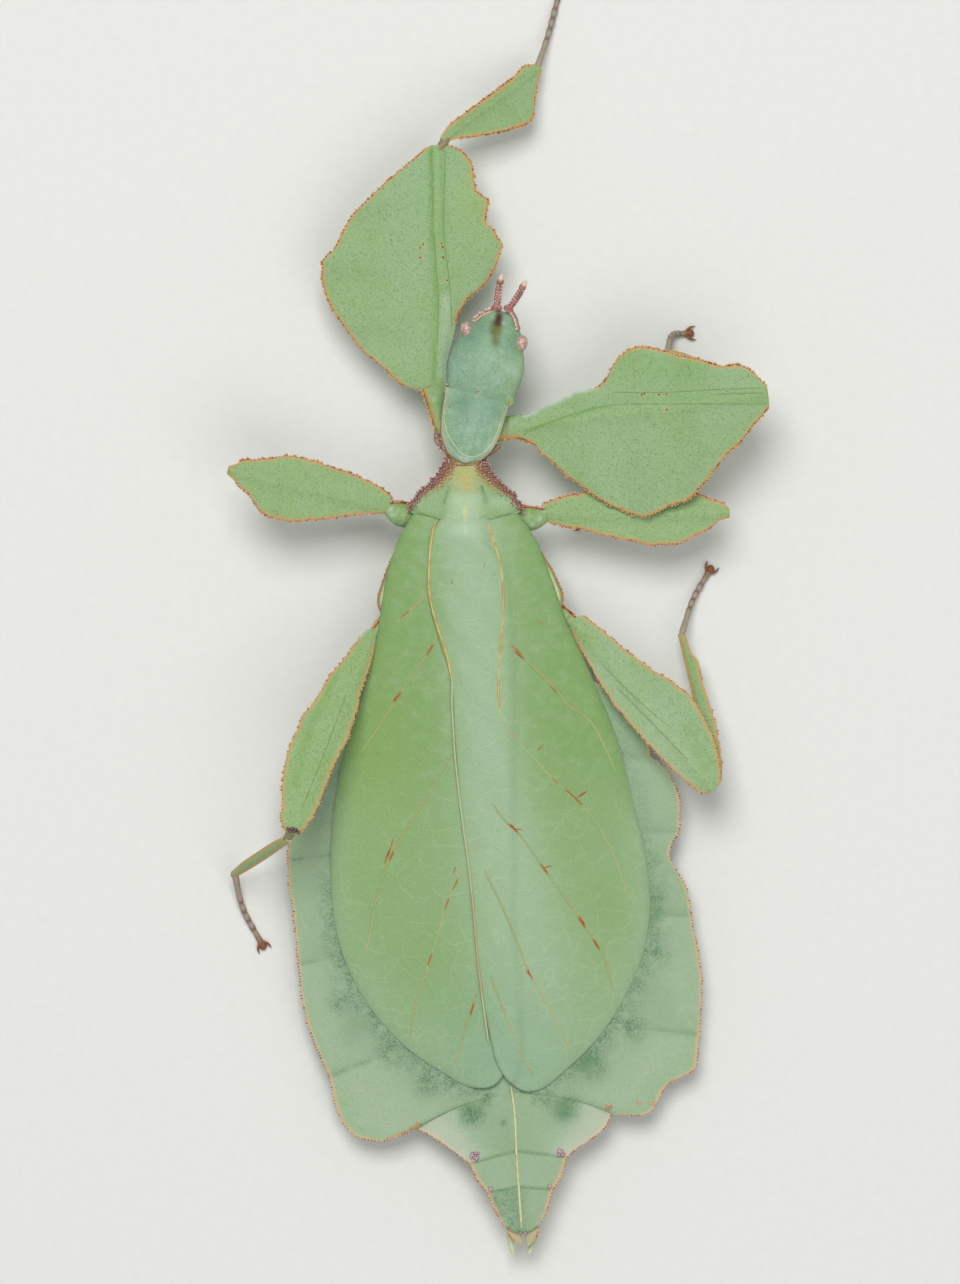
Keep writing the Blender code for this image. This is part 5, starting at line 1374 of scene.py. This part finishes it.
# %% Ridge, rust dashes and fine side veins
ridge = cords("right_ridge", on_wing([RIGHT_RIDGE[10:]], True, 0.04), 0.13, "ridge_cream",
              lambda spots: 0.66 * ease((-spots[:, 1] - 29.5) / 3) * ease((spots[:, 1] + 45.5) / 3))
ridge_front = cords("ridge_front", on_wing([RIGHT_RIDGE[:12]], True, 0.0), 0.135, "vein_gold", rusty)
DASHES = [((6.1, -18.45), (7.0, -19.3)), ((7.0, -19.3), (7.9, -20.1)), ((7.9, -20.1), (8.9, -20.9)),
          ((8.9, -20.8), (10.1, -20.0)), ((1.4, -23.7), (2.2, -24.8)), ((1.9, -24.3), (2.8, -24.4)),
          ((4.8, -28.3), (5.6, -29.2)), ((5.2, -28.7), (6.2, -28.5)), ((2.9, -40.2), (3.9, -41.4)),
          ((9.2, -34.2), (9.9, -35.3)), ((10.8, -37.0), (11.4, -38.0)), ((1.55, -3.4), (2.7, -4.5)),
          ((5.9, -7.9), (7.1, -9.1)), ((4.4, -15.4), (5.0, -14.8)), ((-1.5, 6.1), (-1.65, 5.5)),
          ((-1.95, 2.9), (-2.1, 2.3)), ((-5.35, 4.0), (-5.25, 3.6)), ((4.7, -0.7), (5.2, -1.05)),
          ((2.3, -14.2), (2.8, -14.9)), ((8.6, -10.6), (9.3, -11.0))]
LEFT_DASHES = [((-9.6, 2.3), (-10.1, 1.3)), ((-10.5, 0.5), (-10.9, -0.4)), ((-7.3, -3.2), (-8.3, -4.6)),
               ((-11.2, -8.8), (-12.0, -9.7)), ((-12.2, -26.2), (-13.0, -28.3)),
               ((-4.9, -28.6), (-5.1, -29.5)), ((-5.6, -32.4), (-6.1, -33.4)), ((-7.6, -38.6), (-8.0, -39.8)),
               ((-2.8, -44.3), (-3.2, -45.4)), ((-12.3, -26.6), (-12.0, -25.4))]
dashes = cords("right_dashes", on_wing(DASHES, True, 0.02, 0.25), 0.12, "rust_finish")
left_dashes = cords("left_dashes", on_wing(LEFT_DASHES, False, 0.02, 0.25), 0.12, "rust_finish")
ROOT_LINE = [(-3.78, 10.3), (-3.8, 9.6), (-3.86, 8.85)]
root_line = cords("root_line", on_wing([ROOT_LINE], True, 0.02), 0.11, "line_cream")
join(wings["wing_right"], [right_main, right_branches, ridge, ridge_front, root_line, dashes])
join(wings["wing_left"], [left_branches, left_dashes])
for name, piece in wings.items():
    settle(piece, "wing_green", name)

# %% [markdown]
# ## Legs
#
# Each thigh and most shins are a stiff rib between two thin lobes with nibbled edges. The
# outlines below give how far each lobe reaches to the left and to the right, looking from the
# root to the tip. As the lobes bend down at their edges, the leg looks like a curled leaf.

# %% Outlines of the thighs
THIGHS = {
    "fore_left": ((-6.7, 25.4, 6.9), (-7.0, 53.6, 7.8), [
        (0, 1.2), (0.012, 2.3), (0.02, 3.2), (0.03, 4.0), (0.06, 5.1), (0.1, 6.2), (0.15, 7.9), (0.21, 9.6),
        (0.27, 10.7), (0.31, 11.6), (0.36, 12.4), (0.42, 13.0), (0.47, 13.3), (0.53, 13.3), (0.55, 12.9),
        (0.59, 11.8), (0.63, 11.2), (0.67, 10.6), (0.71, 10.0), (0.75, 8.9), (0.83, 6.6), (0.9, 4.3),
        (0.95, 2.5), (0.99, 1.2), (1, 0.7)], [
        (0, 0.8), (0.1, 0.8), (0.16, 1.1), (0.22, 1.6), (0.28, 1.9), (0.32, 2.2), (0.35, 2.7), (0.39, 3.6),
        (0.42, 4.7), (0.47, 5.9), (0.52, 6.7), (0.56, 7.0), (0.6, 7.4), (0.62, 6.8), (0.65, 6.5),
        (0.67, 5.9), (0.69, 5.5), (0.75, 5.6), (0.775, 5.9), (0.79, 5.2), (0.82, 4.3), (0.86, 4.2),
        (0.9, 4.1), (0.94, 3.7), (0.975, 2.8), (1, 1.2)]),
    "fore_right": ((1.3, 21.35, 7.6), (30.5, 25.1, 12.6), [
        (0, 1.2), (0.09, 1.4), (0.13, 1.9), (0.21, 2.5), (0.29, 3.2), (0.35, 3.3), (0.39, 4.1), (0.42, 5.4),
        (0.45, 6.4), (0.49, 7.1), (0.54, 7.2), (0.6, 6.8), (0.65, 6.1), (0.71, 5.4), (0.76, 5.0),
        (0.8, 4.3), (0.84, 3.9), (0.89, 3.8), (0.92, 3.5), (0.96, 2.5), (1, 1.0)], [
        (0, 1.1), (0.04, 1.5), (0.08, 2.0), (0.11, 3.3), (0.15, 4.6), (0.19, 6.1), (0.23, 7.2), (0.28, 8.6),
        (0.32, 9.6), (0.37, 10.6), (0.43, 11.6), (0.47, 11.9), (0.52, 11.7), (0.57, 11.1), (0.63, 10.8),
        (0.68, 9.9), (0.73, 8.6), (0.78, 7.1), (0.83, 5.8), (0.88, 4.8), (0.92, 3.6), (0.96, 2.6),
        (1, 1.4)]),
    "mid_left": ((-12.2, 12.15, 7.7), (-30.65, 16.5, 12.2), [
        (0, 0.5), (0.18, 1.5), (0.32, 2.5), (0.46, 3.4), (0.61, 4.1), (0.69, 4.1), (0.75, 3.8), (0.8, 3.1),
        (0.84, 2.3), (0.91, 1.6), (0.96, 0.9), (1, 0.5)], [
        (0, 0.9), (0.04, 1.7), (0.08, 2.0), (0.17, 2.5), (0.29, 2.9), (0.42, 3.1), (0.51, 3.3), (0.61, 3.3),
        (0.67, 3.2), (0.78, 2.4), (0.86, 1.9), (0.92, 1.6), (0.97, 0.8), (1, 0.5)]),
    "mid_right": ((4.9, 11.55, 7.4), (26.3, 11.65, 8.6), [
        (0, 1.2), (0.07, 1.7), (0.18, 2.3), (0.31, 2.6), (0.53, 2.9), (0.74, 2.6), (0.85, 2.1), (0.9, 1.6),
        (0.96, 1.3), (1, 0.5)], [
        (0, 0.7), (0.1, 1.3), (0.21, 1.7), (0.31, 2.3), (0.42, 2.9), (0.53, 3.3), (0.59, 3.6), (0.66, 3.6),
        (0.74, 3.3), (0.82, 2.5), (0.9, 1.6), (0.95, 0.8), (1, 0.5)]),
    "hind_left": ((-14.2, -1.85, 6.9), (-23.3, -24.65, 16.3), [
        (0, 0.4), (0.1, 0.9), (0.18, 1.1), (0.28, 1.2), (0.36, 1.5), (0.48, 1.8), (0.59, 1.6), (0.7, 1.5),
        (0.81, 1.6), (0.89, 1.5), (0.97, 1.0), (1, 0.6)], [
        (0, 0.9), (0.06, 1.4), (0.16, 2.0), (0.26, 2.8), (0.37, 3.2), (0.49, 3.9), (0.58, 4.0), (0.65, 3.9),
        (0.74, 3.6), (0.83, 3.0), (0.9, 2.2), (0.94, 2.0), (1, 0.9)]),
    "hind_right": ((8.5, -0.6, 6.8), (24.5, -19.75, 9.8), [
        (0, 1.1), (0.03, 1.4), (0.11, 1.9), (0.23, 2.4), (0.34, 3.0), (0.42, 3.5), (0.49, 4.2), (0.55, 4.5),
        (0.61, 4.8), (0.67, 4.6), (0.74, 4.2), (0.82, 3.7), (0.88, 3.0), (0.95, 2.0), (1, 0.9)], [
        (0, 0.7), (0.08, 1.2), (0.2, 1.7), (0.33, 2.3), (0.43, 2.55), (0.54, 2.5), (0.64, 2.45), (0.74, 2.3),
        (0.81, 2.1), (0.89, 1.9), (0.95, 1.6), (1, 0.9)]),
}

# %% Outlines of the shins, and the paths of hips and feet
SHINS = {
    "fore_left": ((-6.4, 54.1, 7.9), (4.7, 62.8, 2.5), [
        (0, 0.45), (0.14, 1.0), (0.44, 0.9), (0.73, 0.8), (0.9, 1.25), (1, 0.6)], [
        (0, 0.45), (0.06, 0.6), (0.2, 1.6), (0.35, 2.7), (0.45, 3.4), (0.53, 3.8), (0.64, 4.3), (0.71, 4.1),
        (0.79, 2.9), (0.91, 1.3), (1, 0.5)]),
    "fore_right": ((30.3, 25.2, 11.2), (19.0, 30.2, 2.9), [
        (0, 0.45), (0.2, 1.6), (0.35, 2.6), (0.6, 4.0), (0.71, 3.9), (0.8, 2.6), (0.9, 1.1), (1, 0.45)], [
        (0, 0.45), (0.14, 0.8), (0.8, 0.8), (1, 0.45)]),
    "mid_left": ((-30.2, 16.4, 10.7), (-22.7, 14.2, 2.7), [(0, 0.45), (0.4, 0.75), (1, 0.45)],
                 [(0, 0.45), (0.5, 0.9), (1, 0.45)]),
    "mid_right": ((26.0, 11.6, 7.2), (16.2, 11.0, 2.6), [(0, 0.45), (0.5, 0.9), (1, 0.45)],
                  [(0, 0.45), (0.4, 0.75), (1, 0.45)]),
    "hind_left": ((-23.7, -25.2, 15.4), (-30.4, -29.7, 2.6), [(0, 0.45), (0.5, 0.55), (1, 0.42)],
                  [(0, 0.45), (0.3, 0.7), (0.7, 0.7), (1, 0.42)]),
    "hind_right": ((24.9, -19.0, 8.3), (20.95, -2.0, 3.0), [(0, 0.5), (0.5, 0.45), (1, 0.42)], [
        (0, 0.5), (0.1, 1.0), (0.23, 1.3), (0.37, 1.4), (0.51, 1.3), (0.65, 1.0), (0.79, 1.2), (0.86, 0.6),
        (1, 0.42)]),
}
HIPS = {
    "fore_left": [(-6.1, 18.9, 7.9), (-6.7, 21.4, 7.5), (-7.1, 23.6, 7.2), (-7.45, 26.5, 6.9)],
    "fore_right": [(-1.4, 20.6, 7.9), (0.8, 21.3, 7.8), (3.4, 21.6, 7.75)],
    "mid_left": [(-8.0, 12.3, 7.0), (-10.6, 11.5, 7.4), (-12.9, 12.25, 7.8)],
    "mid_right": [(0.35, 12.3, 7.0), (3.4, 11.1, 7.3), (5.8, 11.5, 7.4)],
    "hind_left": [(-9.5, 1.6, 6.0), (-12.0, 0.2, 6.2), (-14.4, -2.4, 7.1)],
    "hind_right": [(3.4, 1.6, 6.0), (6.2, 0.8, 6.2), (9.0, -1.1, 6.8)],
}
HIP_WIDTHS = {"fore_left": [(0, 0.3), (0.33, 0.6), (0.66, 0.95), (0.9, 1.3), (1, 1.1)],
              "fore_right": [(0, 1.1), (0.5, 1.4), (0.85, 1.45), (1, 1.2)],
              "mid": [(0, 1.1), (0.45, 1.5), (0.62, 1.5), (0.8, 1.15), (1, 0.6)],
              "hind": [(0, 0.9), (0.6, 0.95), (0.85, 0.85), (1, 0.5)]}
HIP_EDGES = {
    "fore_left": [(-8.75, 25.8, 7.4), (-7.4, 21.7, 7.9), (-6.5, 19.2, 8.2)],
    "fore_right": [(-0.4, 20.1, 8.3), (1.2, 20.15, 8.2), (2.6, 20.1, 8.1), (3.7, 19.6, 7.9)],
    "mid_left": [(-9.4, 12.9, 8.1), (-10.6, 12.95, 8.3), (-11.5, 13.1, 8.3), (-12.5, 12.9, 8.2)],
    "mid_right": [(2.0, 12.7, 8.1), (3.4, 12.5, 8.2), (4.4, 12.4, 8.2), (5.3, 12.2, 8.0)],
    "hind_left": [(-11.9, 1.1, 6.7), (-13.2, 0.1, 7.2), (-14.3, -1.3, 7.5)],
    "hind_right": [(6.2, 1.7, 6.7), (7.6, 1.0, 7.0), (8.8, -0.1, 7.2)],
}
CLOCKWISE = ("fore_left", "fore_right", "mid_left", "hind_left")
HIP_SEAMS = {
    "fore_left": [(-8.9, 26.0), (-6.5, 26.2)], "fore_right": [(0.9, 20.4), (1.1, 22.6)],
    "mid_left": [(-10.3, 12.9), (-10.25, 12.0), (-10.5, 11.1)],
    "mid_right": [(2.8, 12.9), (2.75, 12.0), (3.0, 11.0)],
    "hind_left": [(-13.6, -0.6), (-14.2, -1.6)], "hind_right": [(8.2, 0.3), (7.7, -0.7)],
}
# Places of painted highlights: pale spots on the tops of the hips, where the light shines off them.
HIP_PAINTED_HIGHLIGHTS = {
    "fore_left": [(-7.3, 24.6)], "fore_right": [(1.9, 22.1), (2.9, 22.0)],
    "mid_left": [(-12.3, 12.1), (-12.1, 11.4)], "mid_right": [(4.7, 11.0), (5.2, 12.0), (3.9, 10.4)],
    "hind_left": [(-13.4, 0.2)], "hind_right": [(7.4, 0.9)],
}
FEET = {
    "fore_left": [(4.4, 62.6, 2.6), (5.9, 67.3, 0.9), (7.0, 71.6, 0.4)],
    "fore_right": [(19.35, 30.2, 3.2), (20.2, 32.35, 1.0), (21.7, 32.45, 0.4)],
    "mid_left": [(-22.9, 14.25, 2.8), (-19.6, 13.5, 0.9), (-16.4, 13.0, 0.4)],
    "mid_right": [(16.4, 11.0, 2.8), (13.0, 10.7, 0.9), (9.6, 10.6, 0.4)],
    "hind_left": [(-30.2, -29.5, 2.9), (-29.3, -33.6, 0.9), (-27.2, -37.6, 0.4)],
    "hind_right": [(21.0, -2.1, 3.2), (22.5, 2.2, 0.9), (24.2, 5.1, 0.4)],
}
print(len(THIGHS), "thighs,", len(SHINS), "shins,", len(FEET), "feet")


# %% [markdown]
# A lobed limb is a slab, too. Across it the sheet is thin at the edges and thick at the rib. The rows stand
# closer together near both ends, where the outline turns fastest, and each row is pushed in or out by a hair
# at random, which gives the nibbled edge. Larger teeth are set on that edge.

# %% Lobed limbs
GREEN_BANDS = {
    "thigh_fore_left": [([(-7.7, 53.1), (-7.4, 41.7), (-7.0, 36.4), (-7.16, 30.8), (-7.4, 26.9)], 0.3, 0.9),
                        ([(-6.4, 53.1), (-6.5, 41.7)], 0.5, 0.35)],
    "thigh_fore_right": [([(3.0, 20.9), (6.0, 21.9), (9.0, 23.0), (12.0, 23.8)], 0.3, 0.6),
                         ([(12.0, 24.4), (18.0, 24.7), (24.0, 24.8), (30.0, 25.0)], 0.6, 0.25),
                         ([(16.2, 28.6), (21.0, 27.8)], 2.2, 0.35)],
    "thigh_hind_left": [([(-18.4, -6.0), (-21.0, -12.1), (-22.2, -15.4), (-23.0, -19.2)], 0.6, 0.5)],
    "thigh_hind_right": [([(9.9, -2.2), (13.2, -6.4), (16.0, -9.6)], 0.45, 0.4),
                         ([(21.5, -13.0), (23.6, -17.0)], 0.7, 0.4)],
}
FINE_LINES = {
    "thigh_fore_left": [[(-6.1, 53.0), (-6.06, 41.7), (-5.76, 39.4), (-5.5, 37.0), (-5.3, 32.6)],
                        [(-7.6, 53.0), (-7.25, 41.7), (-6.85, 36.4), (-7.0, 30.8)]],
    "thigh_fore_right": [[(3.2, 21.0), (7.2, 22.5), (11.8, 23.75), (20.0, 24.0), (30.2, 24.0)],
                         [(12.8, 25.4), (18.8, 25.35), (24.2, 25.6), (30.2, 25.8)],
                         [(24.0, 25.1), (30.2, 25.2)]],
    "thigh_hind_left": [[(-17.1, -8.4), (-18.5, -12.3), (-19.9, -16.0), (-22.4, -22.3)]],
    "thigh_hind_right": [[(13.4, -8.1), (16.4, -11.1), (21.5, -16.4)],
                         [(11.5, -5.2), (14.8, -8.6), (19.0, -12.4)]],
}
BROWN_MARKS = {
    "thigh_fore_left": [(-6.5, 42.4), (-6.35, 42.0), (-6.3, 40.8), (-5.85, 38.2), (-8.6, 42.3), (-8.9, 41.9),
                        (-8.9, 40.8)],
    "thigh_fore_right": [(16.3, 25.1), (16.6, 25.2), (18.2, 25.1), (19.1, 25.1), (19.1, 23.4)],
}
PALE_STRIPS = {"thigh_fore_left": ([(-6.0, 36.0), (-6.1, 32.0), (-6.3, 27.5)], 0.6, 0.32),
               "thigh_hind_right": ([(12.5, -6.5), (20.5, -16.5)], 2.6, 0.14)}
YELLOWED = {"thigh_fore_left": (1.0, -2.1, 47.4, 3.0), "thigh_fore_right": (0.4, 14.0, 28.5, 2.5)}
DEEPER_GREEN = {"thigh_mid_left": 0.45, "thigh_mid_right": 0.5, "thigh_hind_left": 0.55}
RIM_STARTS = {"thigh_fore_left": (0.0, 0.27), "thigh_fore_right": (0.34, 0.02),
              "thigh_hind_left": (0.04, 0.04)}


def lobed_limb(name, root, tip, left, right, rib, cup, pitch, tooth):
    """A thigh or a shin: a rib between two thin lobes, toothed from where the browned rim starts."""
    starts = RIM_STARTS.get(name, (0.0, 0.0))
    root, tip = np.array(root, float), np.array(tip, float)
    along = tip - root
    length = np.linalg.norm(along)
    side = np.array((-along[1], along[0], 0.0))
    side /= np.linalg.norm(side)
    normal = np.cross(along / length, side)
    normal *= math.copysign(1, normal[2])
    even = np.linspace(0, 1, max(int(length / 0.24), 30))
    share = 0.72 * even + 0.28 * (0.5 - 0.5 * np.cos(math.pi * even))
    rough = grain_draw.uniform(-0.1, 0.1, len(share))
    reaches = [profile(lobe, share) + np.where(profile(lobe, share) > 1.0, shift, 0)
               for lobe, shift in ((left, rough), (right, rough[::-1]))]
    columns = edge_columns(44 if np.max(reaches) > 5 else 28, 6.0)[None, :]

    def by_side(values):
        return np.where(columns > 0, values[0][:, None], values[1][:, None])

    reach = by_side(reaches)
    out, edge_gap = reach * columns, reach * (1 - np.abs(columns))
    half_rib, tall_rib = rib
    lobe = 0.05 + 0.13 * (1 - fade(edge_gap, 0.2, 1))
    stem = tall_rib * fade(out, half_rib) * (1 - fade(edge_gap, 0.35, 1))
    wave = 0.12 * np.sin(share * length * 0.9)[:, None] * ease(np.abs(out) / 6)
    bend = -cup * (out / 12.0) ** 2 * 1.3 + wave
    places = root + along * share[:, None, None] + side * out[..., None] + normal * bend[..., None]
    upper = places + normal * (lobe + stem)[..., None]
    lower = places - normal * (lobe + stem * 0.9)[..., None]

    def near(marks, wide):
        return fade(reach_to(places.reshape(-1, 3), marks), wide).reshape(out.shape)

    greens = [strength * near(even_steps(line, 0.3), wide)
              for line, wide, strength in GREEN_BANDS.get(name, ())]
    browned = by_side([ease((share - start) * 12 + 0.5) for start in starts])
    ringed = 0.45 * near(BROWN_MARKS[name], 0.25) if name in BROWN_MARKS else 0.0
    pale = 0.7 * fade(edge_gap, 0.3) * (1 - browned)
    if name in PALE_STRIPS:
        line, wide, strength = PALE_STRIPS[name]
        pale = np.maximum(pale, strength * near(even_steps(line, 0.3), wide))
    band = np.maximum(fade(out, half_rib, 4) * 0.4, DEEPER_GREEN.get(name, 0.0))
    if name in YELLOWED:
        band = np.maximum(band, blots(places[..., 0], places[..., 1], [YELLOWED[name]]))
    piece = slab(name, upper, lower, warm=np.maximum(fade(edge_gap, 0.3) * browned, ringed), pale=pale,
                 band=band, mark=np.max([0 * out, *greens], axis=0) * (edge_gap > 0.4))
    coat(piece, "limb_skin")
    rims = [(((upper + lower) / 2)[:, end][(wide > 0.95) & (share > start)], outward)
            for end, wide, start, outward in zip((-1, 0), reaches, starts, (1, -1))]
    small = (0.22, 0.12, 0.35) if "hind" in name else (0.3, 0.17, 0.35)
    teeth = [row for edge, outward in rims for row in edge_teeth(edge, outward, pitch * 1.5, *tooth)]
    beads = [row for edge, outward in rims for row in edge_teeth(edge, outward, 0.36, *small)]
    parts, tops = [], upper.reshape(-1, 3)

    def top_at(spot):
        return tops[np.argmin(((tops[:, :2] - spot) ** 2).sum(axis=1)), 2]

    if teeth:
        parts += [scatter(name + "_teeth", THORN, teeth, "rim_pink"),
                  scatter(name + "_beads", GRAIN, beads, "rim_rose" if "thigh_mid" in name else "rim_beads")]
    if name in FINE_LINES:
        lines = [[(*spot, top_at(spot) + 0.01) for spot in even_steps(line, 0.4)]
                 for line in FINE_LINES[name]]
        parts.append(cords(name + "_lines", lines, 0.055, "line_olive"))
    if name in BROWN_MARKS:
        marks = [((*spot, top_at(spot) - 0.05), (0, 0, 1), 0.11, 0.12) for spot in BROWN_MARKS[name]]
        parts.append(scatter(name + "_marks", GRAIN, marks, "mark_brown"))
    return join(piece, parts) if parts else piece


for leg, outline in THIGHS.items():
    thigh = lobed_limb(f"thigh_{leg}", *outline, (0.8, 0.3), 0.5, 0.66, (0.3, 0.13))
    settle(thigh, "limb_green", f"thigh_{leg}")
KNEE_RADII = [(0, 0.42), (0.5, 0.56), (1, 0.4)]
KNEE_CRUST = [(-23.75, -24.1), (-23.5, -24.35), (-23.3, -24.05), (-23.1, -24.4), (-22.9, -24.15),
              (-22.6, -24.45)]
for leg, outline in SHINS.items():
    shin = lobed_limb(f"shin_{leg}", *outline, (0.42, 0.3), 0.0, 0.55, (0.22, 0.11))
    knee_from = np.array(THIGHS[leg][1]) * 0.97 + np.array(THIGHS[leg][0]) * 0.03
    knee_to = np.array(outline[0]) * 0.94 + np.array(outline[1]) * 0.06
    knee_path = [knee_from, (knee_from + knee_to) / 2 + (0, 0, 0.1), knee_to]
    parts = [coat(column("knee", knee_path, KNEE_RADII, KNEE_RADII, 12, 7), "thorax_skin", warm=0.7)]
    if leg == "hind_left":
        crust = [((*spot, 16.55), (0, 0, 1), 0.34, 0.24) for spot in KNEE_CRUST]
        parts.append(scatter("knee_grains", GRAIN, crust, "knee_dark"))
    settle(join(shin, parts), "limb_green", f"shin_{leg}")

# %% Hips
for leg, path in HIPS.items():
    fore = leg.startswith("fore")
    widths = HIP_WIDTHS.get(leg) or HIP_WIDTHS[leg.split("_")[0]]
    low = [(at, wide * 0.85) for at, wide in widths]
    tall = [(0, 0.8), (0.45, 1.05), (0.7, 0.75), (1, 0.3)] if fore else low
    hip = column(f"hip_{leg}", path, widths, tall, 20, 14)
    spots, edge = read_points(hip) / MM, even_steps(HIP_EDGES[leg], 0.2)
    # The pale spots on the tops of the hips are painted highlights.
    coat(hip, "limb_skin", band=0.3, mark=fade(read_note(hip, "along") - 0.68, 0.03) * 0.5,
         joint=near_line(spots, HIP_SEAMS[leg], 0.1) * 0.5,
         pale=(0.3 if fore else 0.45) * fade(reach_to(spots, HIP_PAINTED_HIGHLIGHTS[leg]), 0.3) * (spots[:, 2] > 7.0),
         warm=0.9 * fade(reach_to(spots, edge), 0.45 if fore else 0.3))
    beads = edge_teeth(edge, -1 if leg in CLOCKWISE else 1, 0.3, 0.3, 0.17, 0.5)
    join(hip, [scatter("hip_beads", GRAIN, beads, "rim_rose" if leg.startswith("mid") else "rim_beads")])
    settle(hip, "limb_green", f"hip_{leg}")

# %% [markdown]
# The foot has five short pieces, two claws and a soft pad between them. It is greyish green at
# the ankle and purple-brown at each joint. It rests on the floor, so its points never go below it.

# %% Feet
foot_skin, tree, shader = new_material("foot_skin", 0.5, 0.45)
place = millimetres(tree)
tone = mix_colours(tree, between(tree, clouds(tree, place, 1.6), 0.4, 0.6), (150, 150, 122), (170, 146, 136))
tone = mix_colours(tree, kept_number(tree, "joint"), tone, (104, 66, 66))
tone = mix_colours(tree, kept_number(tree, "tip"), tone, (134, 84, 50))
feed(tree, shader.inputs["Base Color"], tone)
roughen(tree, shader, clouds(tree, place, 6.0, 2), 0.5, 0.0001)
FOOT_RADII = [(0, 0.3), (0.05, 0.42), (0.3, 0.34), (0.38, 0.38), (0.42, 0.29), (0.5, 0.38), (0.53, 0.38),
              (0.56, 0.29), (0.63, 0.38), (0.66, 0.38), (0.69, 0.29), (0.75, 0.38), (0.78, 0.38),
              (0.81, 0.29), (0.9, 0.33), (0.97, 0.37), (1, 0.2)]
CLAW_RADII = [(0, 0.22), (0.6, 0.14), (1, 0.03)]
for leg, path in FEET.items():
    foot = column(f"foot_{leg}", path, FOOT_RADII, FOOT_RADII, 12, 60, flat_at=0.02)
    along = read_note(foot, "along")
    note(foot, "joint", np.clip(sum(fade(along - at, 0.03) for at in (0.41, 0.55, 0.68, 0.8)), 0, 1) * 0.7)
    note(foot, "tip", ease((along - 0.82) / 0.12) * 0.6)
    end = np.array(path[-1], float)
    ahead = (end - path[-2]) * (1, 1, 0)
    ahead /= np.linalg.norm(ahead)
    side = np.array((-ahead[1], ahead[0], 0.0))
    parts = [column("pad", [end - ahead * 0.15, end + ahead * 0.35, end + ahead * 0.82],
                    [(0, 0.25), (0.5, 0.46), (0.85, 0.36), (1, 0.1)],
                    [(0, 0.2), (0.5, 0.34), (1, 0.1)], 12, 8, flat_at=0.02)]
    for hand in (-1, 1):
        claw = [end - ahead * 0.2 + side * hand * 0.12, end + ahead * 0.4 + side * hand * 0.66 + (0, 0, 0.12),
                end + ahead * 1.02 + side * hand * 0.78 + (0, 0, -0.16)]
        parts.append(column("claw", claw, CLAW_RADII, CLAW_RADII, 8, 10, flat_at=0.01))
    for part in parts:
        note(part, "tip", 1.0)
        note(part, "joint", 0.15)
    coat(join(foot, parts), "foot_skin")
    settle(foot, "foot_brown", f"foot_{leg}")

# %% [markdown]
# ## Size
#
# The dressed insect must fill the box of its solids. The sizes of both boxes are printed side by side.

# %% Compare the boxes
new_box = [list(corner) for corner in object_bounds()]
for axis, label in enumerate("XYZ"):
    was, now = cad_box[1][axis] - cad_box[0][axis], new_box[1][axis] - new_box[0][axis]
    print(label, "solids", round(was / MM, 1), "mm, dressed", round(now / MM, 1), "mm")
